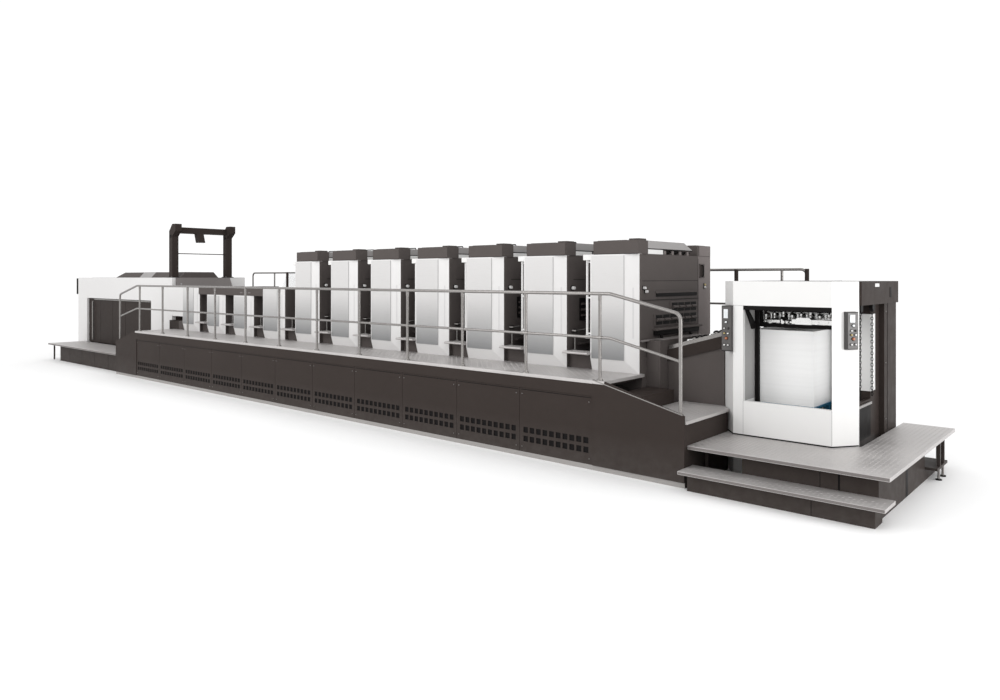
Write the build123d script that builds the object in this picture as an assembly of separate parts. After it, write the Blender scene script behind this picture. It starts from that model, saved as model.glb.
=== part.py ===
"""Sheet-fed offset printing press line with feeder, printing units, coaters, dryers and delivery.

Units are millimetres, +Z is up and +X runs along the line from the delivery to the feeder.
The pieces are drawn from the first regular handrail post of the operator gallery (X = 0), the
outer face of that gallery (Y = 0) and the floor (Z = 0), and are then moved so that the origin
lies on the floor under the middle of the whole line.
"""
import os

from build123d import *

# Printing line
unit_pitch = 1150.0
printing_units = 7
low_units = 4
cover_width = 728.0
cover_thickness = 110.0
cover_bevel_side = 205.0
cover_bevel_bottom = 165.0
cover_bevel_depth = 45.0
cover_panel_margin = 20.0
cover_panel_thickness = 5.0
first_cover_right = 54.0
unit_front = 833.0
unit_back = 2950.0
bed_height = 320.0
bed_toe_height = 90.0
bed_toe_depth = 70.0
transfer_rise = 203.0
tower_side_inset = 14.0
tower_height = 2640.0
cap_height = 176.0
cap_depth = 263.0
cap_left_inset = 50.0
hood_back = 2360.0
hood_thickness = 105.0
hood_nose = 240.0
hood_fall = 95.0
roof_neck_margin = 90.0
rear_box_depth = 420.0
rear_box_height = 155.0
roof_box_depth = 420.0
grab_bar_diameter = 26.0
grab_bar_gap = 42.0
grab_bar_low = 1530.0
grab_bar_high = 2580.0
tread_reach = 75.0
tread_depth = 250.0
tread_thickness = 32.0
tread_clearance = 6.0

# Coaters and dryers
coater_drop = 535.0
dryer_drop = 696.0
bridge_depth = 620.0
bridge_setback = 18.0
guard_sheet = 12.0
guard_rise = 330.0
guard_run = 190.0

# Operator gallery
gallery_bays = 11
deck_height = 1087.0
deck_thickness = 38.0
deck_overrun = 90.0
deck_left_overrun = 150.0
panel_thickness = 10.0
fascia_height = 150.0
fascia_proud = 12.0
plinth_height = 60.0
seam_gap = 6.0
vent_columns = 10
vent_rows = 2
vent_pitch = 105.0
vent_width = 76.0
vent_height = 74.0
vent_row_pitch = 116.0
vent_low_centre = 232.0
post_section = 60.0
first_seam = -80.0
gallery_end_length = 1214.0
gallery_left_length = 1139.0
gallery_end_low = 800.0
rail_diameter = 42.0
rail_post_diameter = 40.0
mid_rail_diameter = 34.0
rail_height = 1050.0
mid_rail_height = 520.0
rail_inset = 46.0
rail_end_drop = 214.0
rail_end_inset = 67.0
rail_left_inset = 138.0
rail_flat_run = 145.0
rail_bend = 90.0

# Stairs between the gallery and the feeder platform
stair_back = 1258.0
stair_step_back = 1050.0
stair_step_height = 915.0
stair_landing_height = 742.0
stair_tread_thickness = 36.0
stair_step_run = 360.0
stair_nosing = 24.0

# Feeder platform and floor step
platform_height = 466.0
platform_thickness = 40.0
platform_front = 69.0
platform_gap = 6.0
platform_back = 3105.0
platform_right = 3191.0
platform_panel_inset = 130.0
platform_panel_thickness = 14.0
platform_leg = 34.0
platform_leg_bay = 560.0
platform_panel_left = 1710.0
platform_open_run = 1000.0
platform_base_run = 545.0
platform_base_width = 130.0
platform_base_height = 130.0
platform_foot_thickness = 30.0
step_height = 230.0
step_thickness = 36.0
step_nose = -167.0
step_left = 1140.0
step_right = 3208.0
step_panel_inset = 115.0
step_riser_inset = 55.0

# Feeder
feeder_left = 1035.0
feeder_right = 2582.0
feeder_front = 1000.0
feeder_back = 2875.0
feeder_height = 2288.0
feeder_header_low = 2001.0
feeder_sill_height = 874.0
feeder_opening_left = 1380.0
feeder_opening_right = 2385.0
feeder_chamfer_side = 276.0
feeder_chamfer_front = 223.0
feeder_chamfer_flat = 24.0
feeder_wall = 180.0
feeder_skin = 60.0
feeder_left_column_back = 1380.0
feeder_roof_thickness = 48.0
feeder_end_sill_height = 905.0
feeder_end_skin = 40.0
feeder_end_open_back = 1965.0
feeder_column_back = 2325.0
feeder_end_overhang = 26.0
feeder_end_header_low = 2020.0
feeder_back_wall = 60.0
feeder_window_low = 908.0
feeder_window_high = 1863.0
feeder_window_thickness = 8.0
control_box_chamfer = 12.0
control_left_width = 132.0
control_left_height = 545.0
control_left_top = 1996.0
control_left_proud = 40.0
control_right_width = 150.0
control_right_height = 415.0
control_right_top = 1955.0
control_right_depth = 50.0
control_right_shift = 58.0

# Pile, pile board and suction head
sheet_length = 720.0
sheet_width = 1030.0
pile_left = 1345.0
pile_front = 1390.0
pile_top = 1702.0
pile_height = 880.0
pile_board_thickness = 110.0
pile_board_margin = 18.0
pile_board_slat = 90.0
pile_board_sheet = 24.0
carrier_section = 60.0
running_gap = 10.0
guide_post_width = 45.0
head_gap = 30.0
head_rail_width = 36.0
head_rail_height = 44.0
head_rail_inset = 40.0
head_hanger = 50.0
head_body_length = 190.0
head_body_height = 80.0
head_bar_diameter = 40.0
head_bar_pitch = 150.0
sucker_count = 6
sucker_pitch = 140.0
sucker_diameter = 44.0
nozzle_diameter = 26.0

# Feed board and infeed cabinet
infeed_width = 196.0
infeed_front = 1060.0
infeed_height = 1514.0
feed_board_thickness = 150.0
feed_board_front = 1240.0
feed_board_back = 2480.0
feed_board_low = 1390.0
feed_board_high = 1700.0
feed_wall_thickness = 20.0

# Delivery
delivery_right = -13076.0
delivery_left = -19147.0
delivery_front = 1006.0
delivery_height = 2323.0
delivery_header_low = 1736.0
delivery_cover_depth = 90.0
delivery_post_width = 780.0
delivery_panel_width = 1144.0
delivery_corner = 120.0
delivery_door_thickness = 35.0
delivery_door_gap = 10.0
delivery_hood_height = 140.0
delivery_hood_front = 1215.0
delivery_hood_back = 2210.0
delivery_hood_left = -16877.0
delivery_hood_slope = 300.0
delivery_hood_lean = 130.0
delivery_slope_height = 230.0
delivery_slope_run = 130.0
delivery_slope_back = 2530.0
delivery_platform_left = -18630.0
delivery_platform_gap = 6.0

# Inspection gantry over the delivery
gantry_section = 160.0
gantry_front = 1035.0
gantry_back = 2461.0
gantry_setback = 138.0
gantry_top = 3473.0
gantry_arm_rise = 170.0
gantry_arm_reach = 250.0
gantry_arm_height = 130.0
gantry_beam_height = 150.0
gantry_lamp_width = 170.0
gantry_lamp_drop = 220.0
gantry_lamp_share = 0.45
gantry_rod_diameter = 22.0
gantry_rod_height = 2921.0

# Drive side gallery
drive_deck_height = 1400.0
drive_outer = 3680.0
drive_right_end = 1282.0
drive_gap = 10.0
drive_panel_gap = 122.0
drive_rail_height = 1050.0
drive_rail_bay = 1080.0
drive_gate_run = 365.0

# Values that follow from those above
transfer_height = deck_height + transfer_rise
coater_height = tower_height - coater_drop
dryer_height = tower_height - dryer_drop
cap_back = unit_front + cap_depth
tower_front = unit_front + cover_thickness
low_first = printing_units
line_units = printing_units + low_units
line_left = first_cover_right - line_units * unit_pitch
last_seam = first_seam - gallery_bays * unit_pitch
last_post = -gallery_bays * unit_pitch
gallery_left = last_seam - gallery_left_length
gallery_right = first_seam + gallery_end_length
deck_left_end = last_post - deck_left_overrun
deck_right_end = deck_overrun
stair_step_end = deck_right_end + stair_step_run
panel_back = fascia_proud + panel_thickness
feeder_chamfer_end = feeder_front + feeder_chamfer_side
feeder_side_front = feeder_chamfer_end + feeder_chamfer_flat
feeder_roof_low = feeder_height - feeder_roof_thickness
rail_top = deck_height + rail_height
rail_middle = deck_height + mid_rail_height
pile_right = pile_left + sheet_length
pile_back = pile_front + sheet_width
pile_low = pile_top - pile_height
deck_under = deck_height - deck_thickness
gantry_x = delivery_right - gantry_setback
middle_x = (delivery_left + step_right) / 2
middle_y = (step_nose + drive_outer) / 2

nodes = {}


def node(name, *solids):
    """Add solids to one named piece."""
    nodes.setdefault(name, []).extend(solids)


def block(x0, x1, y0, y1, z0, z1):
    """Box between two corners."""
    return Pos(x0, y0, z0) * Box(x1 - x0, y1 - y0, z1 - z0, align=(Align.MIN, Align.MIN, Align.MIN))


def along_x(points, x0, x1):
    """Extrude a (Y, Z) outline from x0 to x1."""
    return extrude(Plane.YZ.offset(x0) * Polygon(*points, align=None), amount=x1 - x0, dir=(1, 0, 0))


def along_y(points, y0, y1):
    """Extrude an (X, Z) outline from y0 to y1."""
    return extrude(Plane.XZ.offset(-y0) * Polygon(*points, align=None), amount=y1 - y0, dir=(0, 1, 0))


def along_z(points, z0, z1):
    """Extrude an (X, Y) plan from z0 to z1."""
    return extrude(Plane.XY.offset(z0) * Polygon(*points, align=None), amount=z1 - z0, dir=(0, 0, 1))


def rod_x(diameter, x0, x1, y, z):
    """Round bar along X."""
    return extrude(Plane.YZ.offset(x0) * Pos(y, z) * Circle(diameter / 2), amount=x1 - x0)


def rod_y(diameter, x, y0, y1, z):
    """Round bar along Y."""
    return extrude(Plane.XZ.offset(-y0) * Pos(x, z) * Circle(diameter / 2), amount=y0 - y1)


def rod_z(diameter, x, y, z0, z1):
    """Round bar along Z."""
    return extrude(Plane.XY.offset(z0) * Pos(x, y) * Circle(diameter / 2), amount=z1 - z0)


def tube(diameter, points, radius):
    """Round bar that follows a bent line with rounded corners."""
    path = FilletPolyline(*points, radius=radius)
    return sweep(Plane(origin=path @ 0, z_dir=path % 0) * Circle(diameter / 2), path=path)


def cover_right(index):
    """Right edge of the front cover of a unit, counted from the feeder."""
    return first_cover_right - index * unit_pitch


def cover_left(index):
    return cover_right(index) - cover_width


def press_bed():
    """Sole frame under all units, with a toe recess along both sides."""
    outline = [
        (tower_front + bed_toe_depth, 0),
        (unit_back - bed_toe_depth, 0),
        (unit_back - bed_toe_depth, bed_toe_height),
        (unit_back, bed_toe_height),
        (unit_back, bed_height),
        (tower_front, bed_height),
        (tower_front, bed_toe_height),
        (tower_front + bed_toe_depth, bed_toe_height),
    ]
    node("press_bed", along_x(outline, line_left, first_cover_right))


def unit_body(index, top):
    """Side frames of a unit: a full-pitch lower part and a narrower tower."""
    right = cover_right(index)
    left = right - unit_pitch
    tower_left = cover_left(index) + tower_side_inset
    outline = [
        (left, bed_height),
        (right, bed_height),
        (right, transfer_height),
        (right - tower_side_inset, transfer_height),
        (right - tower_side_inset, top),
        (tower_left, top),
        (tower_left, transfer_height),
        (left, transfer_height),
    ]
    return along_y(outline, tower_front, unit_back)


def printing_unit(index):
    """Unit body with the roof neck and the rear drive box on top."""
    right = cover_right(index) - tower_side_inset
    left = cover_left(index) + tower_side_inset
    neck = block(
        left + roof_neck_margin, right - roof_neck_margin,
        cap_back + roof_box_depth, hood_back - hood_nose,
        tower_height, tower_height + cap_height - hood_thickness,
    )
    rear_top = tower_height + rear_box_height
    rear = block(left, right, unit_back - rear_box_depth, unit_back, tower_height, rear_top)
    return unit_body(index, tower_height) + neck + rear


def front_cover(index, top, bottom):
    """Moulded front cover whose right and lower edges slope back from the flat face."""
    left = cover_left(index)
    right = cover_right(index)
    back = unit_front + cover_thickness
    sloped = unit_front + cover_bevel_depth
    plan = [
        (left, back),
        (left, unit_front),
        (right - cover_bevel_side, unit_front),
        (right, sloped),
        (right, back),
    ]
    cut_back = [
        (unit_front, bottom + cover_bevel_bottom),
        (sloped, bottom),
        (unit_front, bottom),
    ]
    return along_z(plan, bottom, top) - along_x(cut_back, left, right)


def cover_panel(index, top, bottom):
    """Inset panel on the flat face of a front cover."""
    return block(
        cover_left(index) + cover_panel_margin,
        cover_right(index) - cover_bevel_side,
        unit_front - cover_panel_thickness,
        unit_front,
        bottom + cover_bevel_bottom,
        top - cover_panel_margin,
    )


def roof_hood(index):
    """Roof hood behind the cap, on a low box at the front and falling away towards the drive side."""
    top = tower_height + cap_height
    under = top - hood_thickness
    outline = [
        (cap_back, tower_height),
        (cap_back, top),
        (hood_back - hood_nose, top),
        (hood_back, top - hood_fall),
        (hood_back, under),
        (cap_back + roof_box_depth, under),
        (cap_back + roof_box_depth, tower_height),
    ]
    return along_x(outline, cover_left(index) + tower_side_inset, cover_right(index) - tower_side_inset)


def grab_bar(index):
    """Upright grab bar at the left of a cover, turned into the tower at both ends."""
    x = cover_left(index) - grab_bar_gap
    y = tower_front + grab_bar_diameter
    inner = cover_left(index) + tower_side_inset
    points = [
        (inner, y, grab_bar_low),
        (x, y, grab_bar_low),
        (x, y, grab_bar_high),
        (inner, y, grab_bar_high),
    ]
    return tube(grab_bar_diameter, points, grab_bar_diameter)


def unit_tread(index):
    """Step tread in the gap at the left of a tower, with a rounded nose."""
    left = cover_right(index) - unit_pitch + tread_clearance
    right = cover_left(index) - tread_clearance
    y0 = unit_front - tread_reach
    y1 = y0 + tread_depth
    plate = block(left, right, y0, y1, transfer_height, transfer_height + tread_thickness)
    return fillet(plate.edges().filter_by(Axis.X).group_by(Axis.Y)[0], tread_thickness / 2 - 1)


def printing_line():
    bottom = deck_height
    printing = range(printing_units)
    for index in printing:
        node(f"printing_unit_{index + 1}", printing_unit(index))
    node("unit_covers", *[front_cover(i, tower_height, bottom) for i in printing])
    node("unit_cover_panels", *[cover_panel(i, tower_height, bottom) for i in printing])
    cap_top = tower_height + cap_height
    for index in printing:
        cap_left = cover_left(index) + cap_left_inset
        node("unit_caps", block(cap_left, cover_right(index), unit_front, cap_back, tower_height, cap_top))
    node("unit_roof_hoods", *[roof_hood(i) for i in printing])
    node("unit_grab_bars", *[grab_bar(i) for i in printing])


def low_line():
    """Coater, two dryers and coater, with the beam that bridges the dryers."""
    first = low_first
    last = line_units - 1
    node("coater_unit_1", unit_body(first, coater_height))
    node("coater_unit_2", unit_body(last, coater_height))
    dryers = unit_body(first + 1, dryer_height)
    for index in range(first + 2, last):
        dryers += unit_body(index, dryer_height)
    node("dryer_unit", dryers)
    covers = []
    panels = []
    for index in range(first, line_units):
        top = coater_height if index in (first, last) else dryer_height
        covers.append(front_cover(index, top, deck_height))
        panels.append(cover_panel(index, top, deck_height))
    node("unit_covers", *covers)
    node("unit_cover_panels", *panels)
    bridge_front = unit_front + bridge_setback
    node(
        "dryer_bridge",
        block(
            cover_right(last), cover_left(first),
            bridge_front, bridge_front + bridge_depth,
            dryer_height, coater_height,
        ),
    )
    foot = cover_right(first) - tower_side_inset
    guard = [
        (foot - guard_run - guard_sheet, coater_height),
        (foot - guard_run, coater_height),
        (foot, coater_height + guard_rise),
        (foot - guard_sheet, coater_height + guard_rise),
    ]
    node("coater_guard", along_y(guard, tower_front, unit_back - rear_box_depth))


def treads():
    node("unit_treads", *[unit_tread(i) for i in range(line_units - 1)])


def seam(index):
    """Seam between two gallery panels, counted from the feeder end."""
    return first_seam - index * unit_pitch


def vent_panel(index):
    """Gallery front panel with rows of ventilation slots."""
    right = seam(index) - seam_gap / 2
    left = seam(index + 1) + seam_gap / 2
    plate = block(left, right, fascia_proud, panel_back, plinth_height, deck_under - fascia_height)
    centre = Pos((left + right) / 2, vent_low_centre + (vent_rows - 1) * vent_row_pitch / 2)
    face = Plane.XZ.offset(-fascia_proud)
    places = GridLocations(vent_pitch, vent_row_pitch, vent_columns, vent_rows)
    slots = [
        extrude(face * centre * place * Rectangle(vent_width, vent_height), amount=-panel_thickness)
        for place in places
    ]
    return plate - slots


def gallery_bent(index):
    """Upright behind a panel seam and the beam from it that carries the deck."""
    x0 = seam(index) - post_section / 2
    x1 = x0 + post_section
    upright_back = panel_back + post_section
    upright = block(x0, x1, panel_back, upright_back, 0, deck_under)
    return [upright, block(x0, x1, upright_back, tower_front, deck_under - post_section, deck_under)]


def gallery():
    node("gallery_decks", block(deck_left_end, deck_right_end, 0, tower_front, deck_under, deck_height))
    node("gallery_vent_panels", *[vent_panel(i) for i in range(gallery_bays)])
    fascia_low = deck_under - fascia_height
    node("gallery_fascia", block(last_seam, first_seam, 0, panel_back, fascia_low, deck_under))
    node("gallery_plinth", block(gallery_left, gallery_right, fascia_proud, panel_back, 0, plinth_height))
    for index in range(gallery_bays + 1):
        node("gallery_frames", *gallery_bent(index))
    right_end = [
        (first_seam, plinth_height),
        (gallery_right, plinth_height),
        (gallery_right, gallery_end_low),
        (deck_right_end, deck_height),
        (deck_right_end, deck_under),
        (first_seam, deck_under),
    ]
    left_end = [
        (last_seam, plinth_height),
        (last_seam, deck_under),
        (deck_left_end, deck_under),
        (deck_left_end, deck_height),
        (gallery_left, gallery_end_low),
        (gallery_left, plinth_height),
    ]
    node("gallery_end_panels", along_y(right_end, 0, panel_back), along_y(left_end, 0, panel_back))


def handrail():
    """Bent top rail that is also both end posts, with a middle rail and one post for each bay."""
    y = rail_inset
    right = gallery_right - rail_end_inset
    left = gallery_left + rail_left_inset
    flat_right = rail_flat_run
    flat_left = last_post - rail_flat_run
    top = [
        (left, y, stair_landing_height),
        (left, y, rail_top - rail_end_drop),
        (flat_left, y, rail_top),
        (flat_right, y, rail_top),
        (right, y, rail_top - rail_end_drop),
        (right, y, stair_landing_height),
    ]
    middle = [
        (left, y, rail_middle - rail_end_drop),
        (flat_left, y, rail_middle),
        (flat_right, y, rail_middle),
        (right, y, rail_middle - rail_end_drop),
    ]
    rail = tube(rail_diameter, top, rail_bend)
    rail += tube(mid_rail_diameter, middle, rail_bend)
    for index in range(gallery_bays + 1):
        rail += rod_z(rail_post_diameter, -index * unit_pitch, y, deck_height, rail_top)
    node("gallery_handrail", rail)


def stairs():
    """Steps and landings at both ends of the gallery, on closed bases."""
    landing_top = stair_landing_height
    landing_low = landing_top - stair_tread_thickness
    left_end = gallery_left
    front = panel_back
    left_step_end = deck_left_end - stair_step_run
    left_back = delivery_front - delivery_platform_gap
    corner = feeder_left - platform_gap
    slope = feeder_chamfer_side / feeder_chamfer_front

    def landing_plan(end):
        return [
            (stair_step_end, front),
            (end, front),
            (end, stair_back - (end - corner) * slope),
            (corner, stair_back),
            (stair_step_end, stair_back),
        ]

    node(
        "stair_treads",
        along_z(landing_plan(gallery_right + stair_nosing), landing_low, landing_top),
        block(left_end - stair_nosing, left_step_end, front, left_back, landing_low, landing_top),
    )
    bases_right = [
        block(deck_right_end, stair_step_end, front, stair_step_back, 0, stair_step_height),
        along_z(landing_plan(gallery_right), 0, landing_low),
    ]
    bases_left = [
        block(left_step_end, deck_left_end, front, tower_front, 0, stair_step_height),
        block(left_end, left_step_end, front, left_back, 0, landing_low),
    ]
    node("stair_bases", *bases_right, *bases_left)


def feeder_platform():
    """Platform around the feeder, on recessed panels and legs, with a floor step in front."""
    low = platform_height - platform_thickness
    left = gallery_right + platform_gap
    inner = feeder_right + feeder_end_overhang + platform_gap
    near = feeder_front - platform_gap
    slope = feeder_chamfer_side / feeder_chamfer_front
    plan = [
        (left, platform_front),
        (platform_right, platform_front),
        (platform_right, platform_back),
        (inner, platform_back),
        (inner, feeder_chamfer_end),
        (feeder_opening_right + platform_gap, near),
        (feeder_left + feeder_chamfer_front - platform_gap, near),
        (left, near + (feeder_left + feeder_chamfer_front - platform_gap - left) * slope),
    ]
    node("platform_decks", along_z(plan, low, platform_height))
    front = platform_front + platform_panel_inset
    right = platform_right - platform_panel_inset
    front_panel = block(platform_panel_left, right, front, front + platform_panel_thickness, 0, low)
    side_end = platform_back - platform_open_run
    side_panel = block(
        right - platform_panel_thickness, right,
        front + platform_panel_thickness, side_end,
        0, low,
    )
    base_end = side_end + platform_base_run
    foot_low = platform_base_height
    foot_top = foot_low + platform_foot_thickness
    base = block(right - platform_base_width, right, side_end, base_end, 0, foot_low)
    foot = block(right - platform_base_width, platform_right, side_end, base_end, foot_low, foot_top)
    legs = []
    leg_y = platform_back - platform_leg_bay / 4
    for x in (inner + platform_leg, right - platform_leg):
        legs.append(block(x - platform_leg / 2, x + platform_leg / 2, leg_y, leg_y + platform_leg, 0, low))
    leg_x = left + platform_leg
    near_leg = near - platform_leg_bay
    legs.append(block(leg_x, leg_x + platform_leg, near_leg, near_leg + platform_leg, 0, low))
    leg_x = platform_right - platform_leg
    for share in (0.25, 0.65):
        leg_y = side_end + share * platform_base_run
        legs.append(block(leg_x, platform_right, leg_y, leg_y + platform_leg, foot_top, low))
    node("platform_frames", front_panel, side_panel, base, foot, *legs)
    step_low = step_height - step_thickness
    step_back = front
    node("platform_decks", block(step_left, step_right, step_nose, step_back, step_low, step_height))
    riser = step_nose + step_panel_inset
    step_end = step_right - step_panel_inset
    riser_left = step_left + step_riser_inset
    riser_panel = block(riser_left, step_end, riser, riser + platform_panel_thickness, 0, step_low)
    end_panel = block(
        step_end - platform_panel_thickness, step_end,
        riser + platform_panel_thickness, step_back,
        0, step_low,
    )
    node("platform_frames", riser_panel, end_panel)


def feeder_housing():
    """White front portal and dark side, rear and roof pieces of the feeder."""
    left_plan = [
        (feeder_left, feeder_chamfer_end),
        (feeder_left + feeder_chamfer_front, feeder_front),
        (feeder_opening_left, feeder_front),
        (feeder_opening_left, feeder_left_column_back),
        (feeder_left, feeder_left_column_back),
    ]
    right_plan = [
        (feeder_opening_right, feeder_front),
        (feeder_right, feeder_chamfer_end),
        (feeder_right, feeder_side_front),
        (feeder_right - feeder_skin, feeder_side_front),
        (feeder_opening_right, feeder_front + feeder_skin),
    ]
    header_plan = [
        (feeder_left, feeder_chamfer_end),
        (feeder_left + feeder_chamfer_front, feeder_front),
        (feeder_opening_right, feeder_front),
        (feeder_right, feeder_chamfer_end),
        (feeder_right, feeder_side_front),
        (feeder_left, feeder_side_front),
    ]
    node("feeder_front_columns", along_z(left_plan, 0, feeder_header_low))
    node("feeder_front_columns", along_z(right_plan, 0, feeder_header_low))
    node("feeder_header", along_z(header_plan, feeder_header_low, feeder_height))
    sill_back = feeder_front + feeder_skin
    node(
        "feeder_sill",
        block(feeder_opening_left, feeder_opening_right, feeder_front, sill_back, 0, feeder_sill_height),
    )
    inner = feeder_right - feeder_wall
    outer = feeder_right + feeder_end_overhang
    node(
        "feeder_end_header",
        block(inner, outer, feeder_side_front, feeder_back, feeder_end_header_low, feeder_height),
    )
    end_column = block(inner, feeder_right, feeder_column_back, feeder_back, 0, feeder_end_header_low)
    recess = block(
        inner, feeder_right - feeder_skin,
        feeder_end_open_back, feeder_column_back,
        0, feeder_end_header_low,
    )
    rear_column = block(
        feeder_left, feeder_left + feeder_wall,
        feed_board_back + platform_gap, feeder_back,
        0, feeder_roof_low,
    )
    end_sill = block(
        feeder_right - feeder_skin - feeder_end_skin, feeder_right - feeder_skin,
        feeder_side_front, feeder_end_open_back,
        0, feeder_end_sill_height,
    )
    node("feeder_frame", end_column + recess + end_sill, rear_column)
    node(
        "feeder_roof",
        block(feeder_left, inner, feeder_side_front, feeder_back, feeder_roof_low, feeder_height),
    )
    back0 = feeder_back - feeder_back_wall
    x0 = feeder_left + feeder_wall
    node(
        "feeder_back_panels",
        block(x0, inner, back0, feeder_back, 0, feeder_window_low),
        block(x0, inner, back0, feeder_back, feeder_window_high, feeder_roof_low),
    )
    pane = back0 + feeder_back_wall / 2
    node(
        "feeder_window",
        block(x0, inner, pane, pane + feeder_window_thickness, feeder_window_low, feeder_window_high),
    )


def control_boxes():
    """Push-button boxes on the sloped front corners of the feeder, the left one a wedge facing forward."""
    toe = feeder_left + feeder_chamfer_front
    heel = toe - control_left_width
    slope = feeder_chamfer_side / feeder_chamfer_front
    plan = [
        (heel, feeder_front - control_left_proud),
        (toe, feeder_front - control_left_proud),
        (toe, feeder_front),
        (heel, feeder_front + control_left_width * slope),
    ]
    wedge = along_z(plan, control_left_top - control_left_height, control_left_top)
    left = chamfer(wedge.faces().sort_by(Axis.Y)[0].edges(), control_box_chamfer)
    run = feeder_right - feeder_opening_right
    corner = Plane(
        origin=(
            (feeder_opening_right + feeder_right) / 2,
            (feeder_front + feeder_chamfer_end) / 2,
            control_right_top - control_right_height / 2,
        ),
        x_dir=(run, feeder_chamfer_side, 0),
        z_dir=(feeder_chamfer_side, -run, 0),
    )
    face = corner * Pos(control_right_shift, 0) * Rectangle(control_right_width, control_right_height)
    case = extrude(face, amount=control_right_depth)
    outer = case.faces().sort_by(Axis(corner.origin, corner.z_dir))[-1]
    node("control_boxes", left, chamfer(outer.edges(), control_box_chamfer))


def pile():
    """Sheet pile on a slatted board, carried by two lift bars."""
    node("paper_pile", block(pile_left, pile_right, pile_front, pile_back, pile_low, pile_top))
    x0 = pile_left + pile_board_margin
    x1 = pile_right + pile_board_margin
    y0 = pile_front
    y1 = pile_back
    sheet_low = pile_low - pile_board_sheet
    foot = pile_low - pile_board_thickness
    board = block(x0, x1, y0, y1, sheet_low, pile_low)
    for share in (0.0, 0.5, 1.0):
        y = y0 + share * (y1 - y0 - pile_board_slat)
        board += block(x0, x1, y, y + pile_board_slat, foot, sheet_low)
    node("pile_board", board)
    middle = (y0 + y1) / 2
    bars = []
    for side in (-1, 1):
        y = middle + side * (y1 - y0) / 4 - carrier_section / 2
        bar_low = sheet_low - carrier_section
        bars.append(block(x0 - pile_board_margin, x1, y, y + carrier_section, bar_low, sheet_low))
    node("pile_lift_bars", *bars)
    post_y1 = pile_front - running_gap
    node(
        "feeder_inner_frame",
        block(
            feeder_opening_left + platform_gap, feeder_opening_left + platform_gap + guide_post_width,
            post_y1 - guide_post_width, post_y1,
            0, feeder_header_low,
        ),
    )


def suction_head():
    """Suction head over the pile: rails hung from the roof, head body, suckers and air nozzles."""
    rail_low = pile_top + head_gap
    rail_high = rail_low + head_rail_height
    x0 = feeder_opening_left + running_gap
    x1 = feeder_right - feeder_wall - running_gap
    frame = []
    for y in (pile_front + head_rail_inset, pile_back - head_rail_inset - head_rail_width):
        rail = block(x0, x1, y, y + head_rail_width, rail_low, rail_high)
        for x in (x0, x1 - head_hanger):
            rail += block(x, x + head_hanger, y, y + head_rail_width, rail_high, feeder_roof_low)
        frame.append(rail)
    node("feeder_inner_frame", *frame)
    y0 = pile_front + head_rail_inset + head_rail_width
    y1 = pile_back - head_rail_inset - head_rail_width
    body_x1 = pile_right - head_rail_inset
    body_x0 = body_x1 - head_body_length
    body_low = rail_high
    body_high = body_low + head_body_height
    head = block(body_x0, body_x1, y0 - head_rail_width, y1 + head_rail_width, body_low, body_high)
    head = chamfer(head.edges().filter_by(Axis.Y).group_by(Axis.Z)[-1], head_body_height / 3)
    middle = (y0 + y1) / 2
    for index in range(sucker_count):
        y = middle + (index - (sucker_count - 1) / 2) * sucker_pitch
        head += rod_z(sucker_diameter, body_x0 + sucker_diameter, y, rail_low, body_low)
        head += rod_z(nozzle_diameter, body_x1 - sucker_diameter, y, rail_low, body_low)
    bars = []
    for index in (1, 2):
        x = body_x0 - index * head_bar_pitch
        bar_z = rail_high + head_bar_diameter / 2
        bars.append(rod_y(head_bar_diameter, x, y0 - head_rail_width, y1 + head_rail_width, bar_z))
    node("feeder_head", head, *bars)


def feed_table():
    """Infeed cabinet, slanted feed board and the wall under its operator side."""
    cabinet_x0 = first_cover_right
    cabinet_x1 = first_cover_right + infeed_width
    node("infeed_cabinet", block(cabinet_x0, cabinet_x1, infeed_front, feed_board_back, 0, infeed_height))
    x0 = cabinet_x1 + platform_gap
    x1 = pile_left - running_gap
    slope = (feed_board_high - feed_board_low) / (x1 - x0)

    def board(start, end):
        low = feed_board_low + (start - x0) * slope
        high = feed_board_low + (end - x0) * slope
        return [
            (start, low - feed_board_thickness),
            (end, high - feed_board_thickness),
            (end, high),
            (start, low),
        ]

    x_mid = feeder_left - platform_gap
    outer = along_y(board(x0, x_mid), feed_board_front, feed_board_back)
    inner = along_y(board(x_mid, x1), feeder_left_column_back + platform_gap, feed_board_back)
    node("feed_board", outer + inner)
    wall_y0 = stair_back + platform_gap
    wall = [
        (x0, 0),
        (x_mid, 0),
        (x_mid, feed_board_low + (x_mid - x0) * slope - feed_board_thickness),
        (x0, feed_board_low - feed_board_thickness),
    ]
    node("feed_board_wall", along_y(wall, wall_y0, wall_y0 + feed_wall_thickness))


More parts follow.
